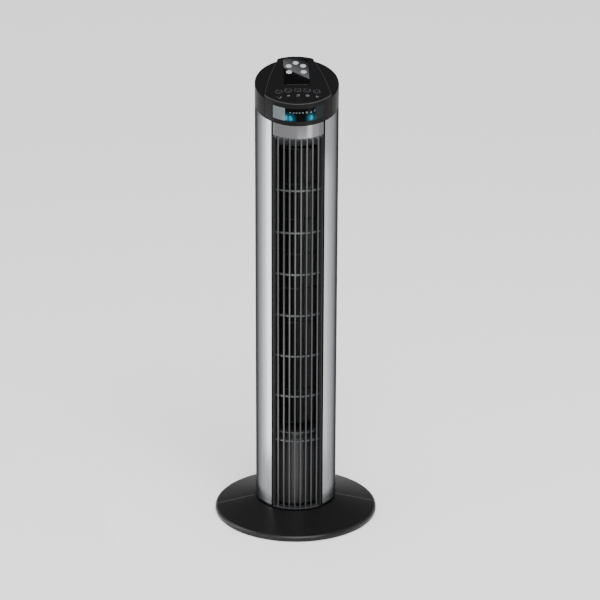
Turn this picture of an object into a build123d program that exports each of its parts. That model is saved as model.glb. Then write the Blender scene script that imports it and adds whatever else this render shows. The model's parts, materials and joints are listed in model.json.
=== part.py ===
from build123d import *
from math import acos, atan2, cos, degrees, hypot, pi, radians, sin, sqrt, tan
import os

# Tower fan: a round two-piece base, an oscillating column with a tangential blower, and a sloping
# control head with a docked remote.
# Frame: millimetres, +Z up, the front faces -Y, origin on the floor at the centre of the base.
# Angles round the column are measured from the front: 0 is -Y, positive towards +X.

os.makedirs("parts", exist_ok=True)

# ---------------------------------------------------------------- driving dimensions
# Clearances
SLIP = 0.3             # between two moving pieces
SEAT = 0.1             # between two fixed pieces with curved faces
RUNNING = 0.04         # a shaft in its bush, on the radius

# Base
BASE_R = 148.5
SKIRT_BOTTOM = 1.5     # the rubber feet carry the base this far off the floor
SKIRT_TOP = 8.0
BASE_EDGE_R = 3.0      # rounding between the skirt and the cone
BASE_WALL = 3.0
BASE_FLAT_R = 75.0     # the cone ends in a flat seat under the column
BASE_FLAT_Z = 26.2     # top of that seat
FOOT_R = 9.0
FOOT_PITCH_R = 128.0
FOOT_COUNT = 6
FOOT_POCKET = 2.6      # depth of the foot's seat in the base
FOOT_BOSS_WALL = 2.0   # round the seat
WEB_THICK = 2.2        # radial webs under the shell
BASE_SEAM_GAP = 0.4    # between the base's halves
GATE_PITCH_R = 126.0   # the dimple of the moulding gate, at the front
GATE_R = 1.2
GATE_X = 2.0
GLAND_W = 9.0          # the mains lead's gland
GLAND_H = 6.2
GLAND_R = 2.0
GLAND_L = 8.0
GLAND_CHEEK = 2.0      # how far its cheeks reach past the notch, and how thick they are

# Neck, glide ring and swing gear
NECK_R = 20.0
NECK_BORE = 16.0
NECK_TOP = 46.0
NECK_FLANGE_R = 52.0
NECK_FLANGE = 4.0
NECK_SCREW_PITCH_R = 44.0
NECK_SCREW_ANGLES = (45, 135, 225, 315)
CAP_SCREW_ANGLES = (30, 150, 270)
CAP_THICK = 2.0
CAP_REACH = 3.0        # how far the cap stands out over the sector gear
GLIDE_INNER = 30.0
GLIDE_OUTER = 40.0
GLIDE_THICK = 2.0
GEAR_MODULE = 1.0
SECTOR_TEETH = 51      # teeth of the full circle that the sector is cut from
SECTOR_KEPT = 7        # teeth kept each side of the middle one
PINION_TEETH = 17
GEAR_BACKLASH = 0.2
CENTRE_SLACK = 0.1     # added to the gears' centre distance
ADDENDUM = 0.8 * GEAR_MODULE
DEDENDUM = 1.2 * GEAR_MODULE
PRESSURE = radians(20)
PINION_INSET = 0.6     # the pinion is this much shorter than the sector at each end

# Swing motor
SWING_MOTOR_R = 17.5
SWING_MOTOR_H = 15.0
SWING_MOTOR_LIFT = 4.0 # its underside over the top of the neck
SWING_SHAFT_R = 2.5
SWING_SHAFT_IN = 8.0   # depth of the shaft inside the can
SWING_OFFSET = 8.0     # the shaft stands off the can's middle
EAR_REACH = 23.0
POST_R = 4.0

# Column
TOWER_R = 73.2
TOWER_BOTTOM = 28.5
SKIN = 1.3             # silver side panels
SHELL = 2.5            # structural wall behind them
GRILLE_EDGE = 37.2     # half angle of the front grille, degrees
PANEL_START = 39.4     # the side panels run from here, degrees from the front
PANEL_END = 112.0      # to here
PANEL_FOOT_IN = 1.0    # the panels' lower edge draws in by this
PANEL_FOOT_UP = 4.0    # over this height
SCREW_ANGLES = (-140, 140)   # the housing's screws, seen in plan
SCREW_HOLE_DEPTH = 19.0      # from the column's skin
SCREW_SINK = 1.6             # their heads lie this deep
SCREW_SINK_R = 3.4
INLET_HALF = 58.0      # half angle of the air inlet, from the back
INLET_PITCH = 4.0      # degrees
INLET_WIDTH = 2.2      # degrees
INLET_ROWS = 6
INLET_BAND = 7.0       # plain wall between two rows
LOOM_X, LOOM_Y = 50.0, 34.0
LOOM_R = 3.0
CLIP_ZS = (230.0, 440.0, 650.0)
CLIP_WALL = 1.45
CLIP_HEIGHT = 8.0
CLIP_ARM = 4.0

# Head: two sloping planes, both lower at the front
SEAM_Z = 772.1         # plane between column and head, where it crosses the axis
SEAM_TILT = 16.66
HEAD_RISE = 41.3       # top face of the control panel over the seam, on the axis
TOP_TILT = 18.23
SEAM_GAP = 0.3
WING_DROP = 3.5        # the side wings lie this far under the control panel
HEAD_WALL = 2.5
PANEL_FRONT_X = 57.6   # half widths of the control panel at its front,
PANEL_MID_X = 49.4     # on the axis
PANEL_BACK_X = 32.6    # and at its back
PANEL_FRONT_Y = -45.2
PANEL_BACK_Y = 59.8
PANEL_CORNER = 5.0     # rounding of its back corners
PANEL_GAP = 0.5        # between the control panel and the wings
WING_ROUND = 2.4
PANEL_LIP = 1.0        # rounding round its top face

# Front grille
FIN_PITCH = 9.93
FIN_COUNT = 8
FIN_THICK = 2.4
FIN_INNER_R = 60.0
RAIL_INNER_ANGLE = 34.7
BAND_HEIGHT = 22.4     # plain band between the head and the fins
BADGE_THICK = 0.8
BADGE_ANGLE = 36.4     # half angle of the metal plate on the band
RAMP_DROP = 61.1       # the slots' sloping roofs end this far under the seam, on the axis
RIB_COUNT = 7
RIB_LOWEST_Z = 161.6
RIB_SECOND_Z = 248.6
RIB_PITCH = 76.8
RIB_HEIGHT = 3.0
RIB_OUTER_R = 68.6
RIB_DEPTH = 4.0
FLANGE_REACH = 8.0     # degrees that the fixing flanges run behind the side panels
FLANGE_CLEAR = 9.0     # degrees that the plates keep free for them past the grille
GRILLE_FOOT = 2.5

# Blower
BLOWER_Y = 4.0         # its axis lies a little behind the column's
BLADE_OUTER_R = 45.0
BLADE_INNER_R = 36.0
BLADE_COUNT = 36
BLADE_THICK = 1.0
BLADE_LEAN = 13.0      # degrees that a blade leans over its depth
BLADE_BELLY = 1.6      # how far its middle stands off the straight line
STAGE_COUNT = 8
RING_THICK = 2.0
RING_OUT = 0.6         # the rings stand out past the blades by this
RING_IN = 1.5          # and reach inwards past them by this
BLOWER_BOTTOM = 186.0
BLOWER_HEADROOM = 9.0  # from its upper end to the bearing plate
MOTOR_SHAFT_R = 4.0
STUB_R = 3.0
HUB_R = 14.0
HUB_HEIGHT = 20.0
HUB_SCREW_R = 1.6
HUB_SCREW_L = 8.5
HUB_SCREW_DROP = 8.0   # its axis under the hub's upper end
END_DISC = 3.0
PRESS = 0.02           # a pressed-on bore over its shaft, on the radius

# Plates across the column
PLATE = 6.0
MOTOR_PLATE_Z = 172.0
COVER_R = 57.5         # the curved blank in front of the motor
COVER_WALL = 1.6
DAMPER_R = 12.0
BUSH_R = 6.0
DAMPER_LIP = 2.0
GUIDE_WALL = 1.8
GUIDE_POINTS = ((-30.0, 52.0), (-56.5, 0.0), (-43.0, -47.0))
TONGUE_POINTS = ((43.0, -47.5), (37.5, -29.5), (54.0, -14.0), (63.0, -14.0))

# Motor
STATOR_R = 39.0
STATOR_BORE = 22.5
STATOR_HEIGHT = 24.0
STATOR_Z = 128.0
ROTOR_R = 22.1
COIL_HEIGHT = 9.0
BELL_THICK = 2.0
BELL_DEPTH = 18.0
BELL_INSET = 1.5       # the bells are this much smaller than the stack
BELL_GAP = 0.2
BELL_SEAT_R = 9.0      # boss round the shaft
BELL_SEAT_DEPTH = 6.0
VENT_COUNT = 8
LUG_R = 4.0
LUG_BORE = 1.9
STACK_SLOTS = 16
STACK_SLOT = (9.0, 3.4)
COIL_INSET = 1.5
COIL_RIM = 7.5
MOTOR_POST_ANGLES = (45, 135, 225, 315)
MOTOR_POST_INSET = 3.5
CAGE_RIM = 6.0
CAGE_RISE = 3.5

# Control head contents
DISPLAY_LOW = 8.0      # the window's edges, above the seam plane
DISPLAY_HIGH = 30.0
DISPLAY_ANGLE = 36.4
BUTTON_R = 5.2
BUTTON_PROUD = 0.9
BUTTON_TRAVEL = 0.7
BUTTON_PITCH = 16.3
BUTTON_ROW_V = -33.7   # the middle button, along the slope from the axis
BUTTON_ROW_SAG = 4.6   # the outer buttons lie this much lower down the slope
BUTTON_GAP = 0.25
BUTTON_FLANGE = 1.2    # how far the retaining flange reaches past the cap
BUTTON_FLANGE_T = 1.0
BUTTON_STEM_R = 1.6
DISH_R = 18.0          # hollow in a button's top
DISH_DEPTH = 0.3
BOARD_DEPTH = 12.0     # top of the control board under the panel's face
BOARD_THICK = 1.6
SWITCH_SIZE = 6.0
SWITCH_HEIGHT = 3.5
PLUNGER_R = 1.7
PLUNGER_HEIGHT = 0.2
SCREW_SPOTS = ((-36, 6), (36, 6), (-24, -54), (24, -54))
SCREW_POST_R = 2.6
WINDOW_FLANGE = 1.5    # rim behind the front wall, and nearly its thickness
WINDOW_FLANGE_T = 1.3
MODULE_W = 84.0        # lamp board behind the window
MODULE_T = 1.6
MODULE_H = 19.0
REMOTE_W = 44.6
REMOTE_L = 84.0
REMOTE_T = 6.5
REMOTE_PROUD = 0.6
REMOTE_CORNER = 5.0
REMOTE_V = 25.3        # its middle, along the slope from the axis
KEY_R = 5.2
KEY_PROUD = 0.5
KEY_TRAVEL = 0.4
KEY_GAP = 0.2
KEY_FLANGE = 0.7
KEY_FLANGE_T = 0.6
# Across, and from the far end for an 84 mm remote
KEY_PLACES = {"power": (0.0, 14.1), "swing": (-12.5, 24.1), "timer": (12.5, 24.1),
              "mode": (-12.7, 43.6), "speed": (12.7, 43.6)}
FACE_THICK = 1.2
CASE_WALL = 1.5
CASE_FLOOR = 0.9
KEY_ROOM_W = 39.0
KEY_ROOM_START = REMOTE_L * 6.8 / 84    # from the far end
KEY_ROOM_L = REMOTE_L * 44 / 84
TRAY_W = 24.0
DRAWER_GAP = 0.2
TRAY_T = 3.4
CELL_R = 10.0
CELL_T = 2.5
CELL_BACK = 1.5        # the cell lies this far behind the tray's middle
TRAY_L = 2 * CELL_R + 7.0
DOCK_GAP = 0.4
DOCK_WALL = 1.8

# Electrics in the column
SUPPLY_Y = 56.0        # supply board, upright behind the motor
SUPPLY_Z = 105.0
SUPPLY_SIZE = 60.0
SUPPLY_PARTS = (       # x, height and size of its relay, choke, fuse and run capacitor
    (-24, 120, (12, 8.5, 16)), (4, 122, (16, 5, 12)), (20, 92, (10, 8, 8)), (-8, 88, (30, 15, 20)))
SUPPLY_FOOT = (8.0, 2.4, 41.0)
SUPPLY_FOOT_X = 22.0
LOOM_START = (30.0, 48.0, 132.0)
LOOM_KNEE_Z = 150.0
LOOM_BEND = 10.0

# Screws: head radius, head height, shank radius, length under the head
FLANGE_SCREW = (3.2, 1.8, 1.4, NECK_FLANGE + 1.6)
CAP_SCREW = (1.7, 1.2, 0.8, 6.5)
EAR_SCREW = (3.0, 1.8, 1.2, 7.0)
HOUSING_SCREW = (3.1, 1.5, 1.3, 9.0)
BOARD_SCREW = (2.3, 1.4, 0.8, 5.5)
MOTOR_SCREW_HEAD = (3.6, 2.2, 1.6)
NUT_THICK = 2.4

# Values that follow
TOP_Z = SEAM_Z + HEAD_RISE
RAMP_FOOT_Z = SEAM_Z - RAMP_DROP
BEARING_PLATE_Z = RAMP_FOOT_Z
BLOWER_TOP = BEARING_PLATE_Z - BLOWER_HEADROOM
SHELL_OUTER = TOWER_R - SKIN - SEAT
SHELL_INNER = SHELL_OUTER - SHELL
PLATE_R = SHELL_INNER - SLIP
FLAT_UNDER = BASE_FLAT_Z - BASE_WALL
RIM_TOP = (BASE_R - BASE_EDGE_R, SKIRT_TOP + BASE_EDGE_R * 0.6)
GLAND_Z = SKIRT_BOTTOM + GLAND_H / 2
NECK_RIM_R = (NECK_R + NECK_BORE) / 2
SECTOR_PITCH_R = SECTOR_TEETH * GEAR_MODULE / 2
PINION_PITCH_R = PINION_TEETH * GEAR_MODULE / 2
GEAR_CENTRES = SECTOR_PITCH_R + PINION_PITCH_R + CENTRE_SLACK
TURNTABLE_TOP = TOWER_BOTTOM + PLATE
BOSS_TOP = TURNTABLE_TOP + 3.5
GEAR_Z0 = BOSS_TOP + SLIP
PINION_Z0 = GEAR_Z0 + PINION_INSET
PINION_Z1 = NECK_TOP - PINION_INSET
SWING_MOTOR_Z = NECK_TOP + SWING_MOTOR_LIFT
SWING_CAN_Y = GEAR_CENTRES + SWING_OFFSET
SCREW_ZS = (TOWER_BOTTOM + PLATE / 2, MOTOR_PLATE_Z + PLATE / 2, BEARING_PLATE_Z + PLATE / 2)
INLET_BOTTOM = BLOWER_BOTTOM + 10.0
INLET_TOP = BLOWER_TOP - 2.0
BUSH_TOP = BEARING_PLATE_Z + PLATE + 1
BLOWER_AXIS = Pos(0, BLOWER_Y, 0)
AIR_Z0 = MOTOR_PLATE_Z + PLATE
AIR_Z1 = BEARING_PLATE_Z
HUB_Z1 = BLOWER_BOTTOM + HUB_HEIGHT
END_DISC_R = BLADE_INNER_R - RING_IN - SEAT
STATOR_Z1 = STATOR_Z + STATOR_HEIGHT
MOTOR_POST_R = STATOR_R - MOTOR_POST_INSET
UPPER_BELL_TOP = STATOR_Z1 + BELL_GAP / 2 + BELL_DEPTH - 0.5
LOWER_BELL_BOTTOM = STATOR_Z - BELL_GAP / 2 - BELL_DEPTH + 0.5
REMOTE_BOTTOM = REMOTE_PROUD - REMOTE_T
REMOTE_V0 = REMOTE_V - REMOTE_L / 2
REMOTE_V1 = REMOTE_V + REMOTE_L / 2
KEY_ROOM_V = REMOTE_V1 - KEY_ROOM_START - KEY_ROOM_L / 2
KEY_SPOTS = {name: (u, REMOTE_V1 - far * REMOTE_L / 84) for name, (u, far) in KEY_PLACES.items()}
FACE_UNDER = REMOTE_PROUD - FACE_THICK
TRAY_MID_W = REMOTE_BOTTOM + CASE_FLOOR + TRAY_T / 2
TRAY_TOP_W = REMOTE_BOTTOM + CASE_FLOOR + TRAY_T
CELL_V = REMOTE_V0 + TRAY_L / 2 + CELL_BACK
DOCK_FLOOR = REMOTE_BOTTOM - 0.1
POST_DEPTH = BOARD_DEPTH - 0.1
SWITCH_TOP = BOARD_DEPTH - SWITCH_HEIGHT
STEM_END = -(SWITCH_TOP - PLUNGER_HEIGHT) + BUTTON_TRAVEL + 0.1
BEHIND_WINDOW = TOWER_R - HEAD_WALL - SEAT - WINDOW_FLANGE_T - SLIP
MODULE_Y = -sqrt(BEHIND_WINDOW ** 2 - (MODULE_W / 2) ** 2) + MODULE_T / 2
MODULE_Z = SEAM_Z + tan(radians(SEAM_TILT)) * MODULE_Y + (DISPLAY_LOW + DISPLAY_HIGH) / 2 - 1
SEAM = Plane(origin=(0, 0, SEAM_Z), x_dir=(1, 0, 0),
             z_dir=(0, -sin(radians(SEAM_TILT)), cos(radians(SEAM_TILT))))
TOP = Plane(origin=(0, 0, TOP_Z), x_dir=(1, 0, 0),
            z_dir=(0, -sin(radians(TOP_TILT)), cos(radians(TOP_TILT))))
WING = TOP.offset(-WING_DROP)
TOO_HIGH = TOP_Z + TOWER_R + 30    # past everything
UNDER_HEAD = SEAM_Z - 60           # below the seam plane's lowest point


# ---------------------------------------------------------------- helpers
def polar(r, angle):
    """A point in plan at an angle from the front."""
    return (r * sin(radians(angle)), -r * cos(radians(angle)))


def sector(r_in, r_out, a0, a1):
    """A flat ring sector in plan, from angle a0 to a1."""
    mid = (a0 + a1) / 2
    outer = ThreePointArc(polar(r_out, a0), polar(r_out, mid), polar(r_out, a1))
    inner = ThreePointArc(polar(r_in, a1), polar(r_in, mid), polar(r_in, a0))
    return make_face([outer, Line(outer @ 1, inner @ 0), inner, Line(inner @ 1, outer @ 0)])


def prism(face, z0, z1):
    """A plan outline pulled up from z0 to z1."""
    return Pos(0, 0, z0) * extrude(face, z1 - z0)


def tube(r_in, r_out, z0, z1):
    """An upright ring about the Z axis."""
    return prism(Circle(r_out) - Circle(r_in), z0, z1)


def disc(r, z0, z1):
    """An upright cylinder about the Z axis."""
    return prism(Circle(r), z0, z1)


def round_spot(r, angle, z=0.0):
    """A place on a circle about the Z axis, the angle in degrees from +X."""
    return Rot(0, 0, angle) * Pos(r, 0, z)


def below(solid, plane, gap=0.0):
    """The part of a solid under a plane, keeping a gap from it."""
    return split(solid, bisect_by=plane.offset(-gap), keep=Keep.BOTTOM)


def above(solid, plane, gap=0.0):
    """The part of a solid over a plane, keeping a gap from it."""
    return split(solid, bisect_by=plane.offset(gap), keep=Keep.TOP)


def strip(points, thickness):
    """A plan outline: a sheet of that thickness along a chain of straight runs."""
    path = Polyline(*points)
    return offset(path, thickness / 2, kind=Kind.INTERSECTION)


def screw(head_r, head_h, shank_r, length):
    """A pan-head screw standing on its tip: the head's underside is at z 0, the shank goes down."""
    head = Pos(0, 0, head_h / 2) * Cylinder(head_r, head_h)
    head = fillet(head.edges().sort_by(Axis.Z)[-1], head_h * 0.6)
    slot = Pos(0, 0, head_h) * (Box(head_r * 1.1, 0.8, head_h) + Box(0.8, head_r * 1.1, head_h))
    return head + Pos(0, 0, -length / 2) * Cylinder(shank_r, length) - slot


def radial(angle, r, z):
    """A place on the column's side whose local +Z points outwards."""
    x, y = polar(r, angle)
    return Plane(origin=(x, y, z), x_dir=(0, 0, 1), z_dir=(x / r, y / r, 0)).location


def group(solids):
    """Several separate solids as one node."""
    flat = []
    for s in solids:
        flat.extend(s.solids())
    return Compound(children=flat)


def save(name, shape):
    solids = shape.solids()
    node = solids[0] if len(solids) == 1 else Compound(children=solids)
    export_step(node, f"parts/{name}.step")
    print(f"{name}: {len(solids)} solid(s), {sum(s.volume for s in solids) / 1000:.1f} cm3")


# ---------------------------------------------------------------- base
def base_shell():
    """The whole base as one revolved shell, before it is cut into halves."""
    outer = Polyline(
        (NECK_R + SLIP, BASE_FLAT_Z), (BASE_FLAT_R, BASE_FLAT_Z), RIM_TOP,
        (BASE_R, SKIRT_TOP - BASE_EDGE_R * 0.4), (BASE_R, SKIRT_BOTTOM), (BASE_R - BASE_WALL, SKIRT_BOTTOM),
        (BASE_R - BASE_WALL, SKIRT_TOP - BASE_WALL), (BASE_FLAT_R, FLAT_UNDER), (NECK_R + SLIP, FLAT_UNDER),
        close=True)
    face = Plane.XZ * make_face(outer)
    shell = revolve(face, Axis.Z)
    rims = shell.edges().filter_by(GeomType.CIRCLE).filter_by(lambda e: e.center().Z > SKIRT_BOTTOM + 1)
    crest = [e for e in rims if abs(e.radius - RIM_TOP[0]) < 0.01 or abs(e.radius - BASE_R) < 0.01]
    shell = fillet(crest, 1.6)
    knee = [e for e in shell.edges().filter_by(GeomType.CIRCLE)
            if abs(e.radius - BASE_FLAT_R) < 0.01 and e.center().Z > BASE_FLAT_Z - 0.1]
    return fillet(knee, 12.0)


FOOT_TURNS = [Rot(0, 0, 360 / FOOT_COUNT * (i + 0.5)) for i in range(FOOT_COUNT)]


def base_ribs():
    """Radial stiffening webs under the shell, one pocket wall for each foot beside them."""
    inner, outer = NECK_FLANGE_R + 5, FOOT_PITCH_R - 1
    web = Pos((inner + outer) / 2, 0, 0) * Box(outer - inner, WEB_THICK, 2 * BASE_FLAT_Z)
    foot_boss = Pos(FOOT_PITCH_R, 0, 0) * Cylinder(FOOT_R + FOOT_BOSS_WALL, 2 * BASE_FLAT_Z)
    return [turn * (web + foot_boss) for turn in FOOT_TURNS]


def under_surface():
    """The space between the floor line and the shell's inside, for trimming the webs to fit."""
    outline = Polyline((NECK_FLANGE_R + 2, SKIRT_BOTTOM + 2), (BASE_R - BASE_WALL / 2, SKIRT_BOTTOM + 2),
                       (BASE_R - BASE_WALL / 2, SKIRT_TOP - BASE_WALL + 1), (BASE_FLAT_R, FLAT_UNDER + 1),
                       (NECK_FLANGE_R + 2, FLAT_UNDER + 1), close=True)
    return revolve(Plane.XZ * make_face(outline), Axis.Z)


def base_halves():
    shell = base_shell()
    webs = under_surface()
    shell = shell + [webs & s for s in base_ribs()]
    pocket_top = SKIRT_BOTTOM + FOOT_POCKET
    for turn in FOOT_TURNS:
        shell -= turn * Pos(FOOT_PITCH_R, 0, 0) * disc(FOOT_R + SEAT, 0, pocket_top + 1)
    for a in NECK_SCREW_ANGLES:
        shell -= round_spot(NECK_SCREW_PITCH_R, a) * disc(FLANGE_SCREW[2] + SEAT, 0, BASE_FLAT_Z - 1.0)
    cone_slope = (BASE_FLAT_Z - RIM_TOP[1]) / (RIM_TOP[0] - BASE_FLAT_R)
    gate_z = BASE_FLAT_Z - (GATE_PITCH_R - BASE_FLAT_R) * cone_slope
    shell -= Pos(GATE_X, -GATE_PITCH_R, gate_z) * Sphere(GATE_R)
    shell -= Pos(0, BASE_R, GLAND_Z) * Box(GLAND_W + 2 * SEAT, 3 * GLAND_L, GLAND_H + 2 * SEAT)
    front = split(shell, bisect_by=Plane.XZ.offset(BASE_SEAM_GAP / 2), keep=Keep.TOP)
    rear = split(shell, bisect_by=Plane.XZ.offset(-BASE_SEAM_GAP / 2), keep=Keep.BOTTOM)
    return front, rear


def base_feet():
    foot = disc(FOOT_R, 0, SKIRT_BOTTOM + FOOT_POCKET + 1 - SEAT)
    foot = chamfer(foot.edges().sort_by(Axis.Z)[0], 0.6)
    return group([turn * Pos(FOOT_PITCH_R, 0, 0) * foot for turn in FOOT_TURNS])


def cord_gland():
    """A block held in the rear skirt's notch, bored for the mains lead."""
    block = Pos(0, BASE_R - SEAT - GLAND_L / 2, GLAND_Z) * Box(GLAND_W, GLAND_L, GLAND_H)
    bore = Pos(0, BASE_R - GLAND_L / 2, GLAND_Z) * Rot(90, 0, 0) * Cylinder(GLAND_R, GLAND_L * 3)
    cheek_y = BASE_R - GLAND_L + GLAND_CHEEK / 2
    cheeks = Pos(0, cheek_y, GLAND_Z - 1.0) * Box(GLAND_W + 2 * GLAND_CHEEK, GLAND_CHEEK, GLAND_H / 2)
    return block + cheeks - bore


def neck_hub():
    flange_top = FLAT_UNDER - SEAT
    hub = disc(NECK_FLANGE_R, flange_top - NECK_FLANGE, flange_top)
    hub += disc(NECK_R, flange_top - NECK_FLANGE, NECK_TOP)
    hub -= disc(NECK_BORE, 0, NECK_TOP + 1)
    for a in NECK_SCREW_ANGLES:
        hub -= round_spot(NECK_SCREW_PITCH_R, a) * disc(FLANGE_SCREW[2] + SLIP, 0, flange_top + 1)
    for a in CAP_SCREW_ANGLES:
        hub -= round_spot(NECK_RIM_R, a) * disc(CAP_SCREW[2] + SEAT, NECK_TOP - 8, NECK_TOP + 1)
    return hub


def neck_screws():
    """Four screws up through the flange into the base halves, three down into the neck's rim."""
    up = Rot(180, 0, 0) * screw(*FLANGE_SCREW)
    down = screw(*CAP_SCREW)
    under = FLAT_UNDER - SEAT - NECK_FLANGE
    placed = [round_spot(NECK_SCREW_PITCH_R, a, under) * up for a in NECK_SCREW_ANGLES]
    placed += [round_spot(NECK_RIM_R, a, NECK_TOP + CAP_THICK) * down for a in CAP_SCREW_ANGLES]
    return group(placed)


def neck_cap():
    """Ring screwed on the neck's rim: it holds the sector gear and keeps the column from lifting off."""
    ring = tube(NECK_BORE, NECK_R + CAP_REACH, NECK_TOP, NECK_TOP + CAP_THICK)
    for a in CAP_SCREW_ANGLES:
        ring -= round_spot(NECK_RIM_R, a) * disc(CAP_SCREW[2] + SEAT, 0, TOO_HIGH)
    return ring


# ---------------------------------------------------------------- swing gears
def half_tooth(teeth, r):
    """Half the angle that an involute tooth covers at radius r, in radians."""
    pitch_r = teeth * GEAR_MODULE / 2
    base_r = pitch_r * cos(PRESSURE)
    flank = acos(min(1.0, base_r / max(r, base_r)))
    spread = (tan(PRESSURE) - PRESSURE) - (tan(flank) - flank)
    return pi / (2 * teeth) + spread - GEAR_BACKLASH / (2 * pitch_r)


def tooth_points(teeth, middle):
    """The outline of one tooth about an angle in radians, root to tip to root."""
    pitch_r = teeth * GEAR_MODULE / 2
    root, tip = pitch_r - DEDENDUM, pitch_r + ADDENDUM
    radii = [root, pitch_r - DEDENDUM / 3, pitch_r, pitch_r + ADDENDUM / 2, tip]
    rising = [(r, middle - half_tooth(teeth, r)) for r in radii]
    falling = [(r, middle + half_tooth(teeth, r)) for r in reversed(radii)]
    return [(r * cos(a), r * sin(a)) for r, a in rising + falling]


def sector_gear():
    """Fixed to the neck: teeth towards the rear, a plain disc elsewhere."""
    step = 2 * pi / SECTOR_TEETH
    points = []
    for i in range(-SECTOR_KEPT, SECTOR_KEPT + 1):
        points += tooth_points(SECTOR_TEETH, pi / 2 + i * step)
    root = SECTOR_PITCH_R - DEDENDUM
    closing = ThreePointArc(points[-1], (0, -root), points[0])
    outline = make_face([Polyline(*points), closing])
    return prism(outline - Circle(NECK_R + SEAT), GEAR_Z0, NECK_TOP)


def swing_pinion():
    """On the swing motor's shaft; a tooth points away from the sector, so a gap faces it."""
    step = 2 * pi / PINION_TEETH
    points = []
    for i in range(PINION_TEETH):
        points += tooth_points(PINION_TEETH, pi / 2 + i * step)
    gear = prism(make_face(Polyline(*points, close=True)), PINION_Z0, PINION_Z1)
    shaft = disc(SWING_SHAFT_R, PINION_Z0, SWING_MOTOR_Z + SWING_SHAFT_IN)
    return Pos(0, GEAR_CENTRES, 0) * (gear + shaft)


# ---------------------------------------------------------------- turntable and swing motor
def front_sector(r_in):
    """The part of a plate's plan outside r_in that is left free for the grille and its flanges."""
    return sector(r_in, PLATE_R + 1, -GRILLE_EDGE - FLANGE_CLEAR, GRILLE_EDGE + FLANGE_CLEAR)


def radial_screw_holes(z):
    """Tools that drill the housing screws' holes at a plate's mid-height."""
    drill = Cylinder(HOUSING_SCREW[2] + SEAT, 2 * SCREW_HOLE_DEPTH)
    return [radial(a, TOWER_R, z) * drill for a in SCREW_ANGLES]


def turntable():
    plate = disc(PLATE_R, TOWER_BOTTOM, TURNTABLE_TOP) + disc(NECK_R + 6, TOWER_BOTTOM, BOSS_TOP)
    plate -= disc(NECK_R + SLIP, 0, TOO_HIGH)
    plate -= prism(front_sector(FIN_INNER_R - SLIP), 0, TOO_HIGH)
    for side in (-1, 1):
        post = Pos(side * EAR_REACH, SWING_CAN_Y, 0)
        plate += post * disc(POST_R, TOWER_BOTTOM, SWING_MOTOR_Z)
        plate -= post * disc(EAR_SCREW[2] + SEAT, SWING_MOTOR_Z - 8, SWING_MOTOR_Z + 1)
    for hole in radial_screw_holes(TOWER_BOTTOM + PLATE / 2):
        plate -= hole
    return plate


def swing_motor():
    """Geared synchronous motor: a flat can with two ears, shaft downwards."""
    can = Pos(0, SWING_CAN_Y, 0) * disc(SWING_MOTOR_R, SWING_MOTOR_Z, SWING_MOTOR_Z + SWING_MOTOR_H)
    can = fillet(can.edges().sort_by(Axis.Z)[-1], 1.0)
    ear = SlotOverall(2 * (EAR_REACH + POST_R), 2 * POST_R)
    can += Pos(0, SWING_CAN_Y, SWING_MOTOR_Z) * extrude(ear, 1.0)
    lead_box = Pos(0, SWING_CAN_Y + SWING_MOTOR_R, SWING_MOTOR_Z + 6) * Box(13, 5, 9)
    can += lead_box
    can -= Pos(0, GEAR_CENTRES, 0) * disc(SWING_SHAFT_R + RUNNING, 0, SWING_MOTOR_Z + SWING_SHAFT_IN + SLIP)
    for side in (-1, 1):
        can -= Pos(side * EAR_REACH, SWING_CAN_Y, 0) * disc(EAR_SCREW[2] + SLIP, 0, SWING_MOTOR_Z + 5)
    return can


def swing_motor_screws():
    one = screw(*EAR_SCREW)
    return group([Pos(s * EAR_REACH, SWING_CAN_Y, SWING_MOTOR_Z + 1.0) * one for s in (-1, 1)])


# ---------------------------------------------------------------- column shells
def inlet_slots():
    """One row of the inlet's slots in plan."""
    count = int(INLET_HALF / INLET_PITCH)
    faces = []
    for i in range(-count, count + 1):
        a = 180 + i * INLET_PITCH
        faces.append(sector(SHELL_INNER - 2, TOWER_R + 2, a - INLET_WIDTH / 2, a + INLET_WIDTH / 2))
    return faces


def loom_clips():
    """Rings on short arms that hold the loom, moulded on the housing's inner wall."""
    angle = degrees(atan2(LOOM_X, -LOOM_Y))
    reach = hypot(LOOM_X, LOOM_Y)
    arm_length = SHELL_INNER + 1 - reach - LOOM_R
    solids = []
    for z in CLIP_ZS:
        ring = tube(LOOM_R + SEAT, LOOM_R + CLIP_WALL, -CLIP_HEIGHT / 2, CLIP_HEIGHT / 2)
        ring = Pos(LOOM_X, LOOM_Y, z) * ring
        x, y = polar(SHELL_INNER + 1 - arm_length / 2, angle)
        arm = Pos(x, y, z) * Rot(0, 0, angle - 90) * Box(arm_length - 0.8, CLIP_ARM, CLIP_HEIGHT)
        solids.append((ring + arm) & disc(SHELL_INNER + 1, 0, TOO_HIGH))
    return solids


def rear_housing():
    """Structural shell round the back and sides, full thickness behind the side panels' rear edges."""
    wall = sector(SHELL_INNER, SHELL_OUTER, PANEL_START + 0.6, 360 - PANEL_START - 0.6)
    thick = sector(SHELL_INNER + 0.5, TOWER_R, PANEL_END + 0.2, 360 - PANEL_END - 0.2)
    solid_plan = wall + thick
    row_plan = solid_plan - inlet_slots()
    row_height = (INLET_TOP - INLET_BOTTOM - (INLET_ROWS - 1) * INLET_BAND) / INLET_ROWS
    layers = [prism(solid_plan, TOWER_BOTTOM, INLET_BOTTOM)]
    z = INLET_BOTTOM
    for i in range(INLET_ROWS):
        layers.append(prism(row_plan, z, z + row_height))
        z += row_height
        top = z + INLET_BAND if i < INLET_ROWS - 1 else TOO_HIGH
        layers.append(prism(solid_plan, z, top))
        z = top
    shell = layers[0].fuse(*layers[1:])
    shell = below(shell, SEAM, SEAM_GAP / 2).fuse(*loom_clips())
    for z in SCREW_ZS:
        for hole in radial_screw_holes(z):
            shell -= hole
        for a in SCREW_ANGLES:
            shell -= radial(a, TOWER_R, z) * Cylinder(SCREW_SINK_R, 2 * SCREW_SINK)
    return shell


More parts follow.
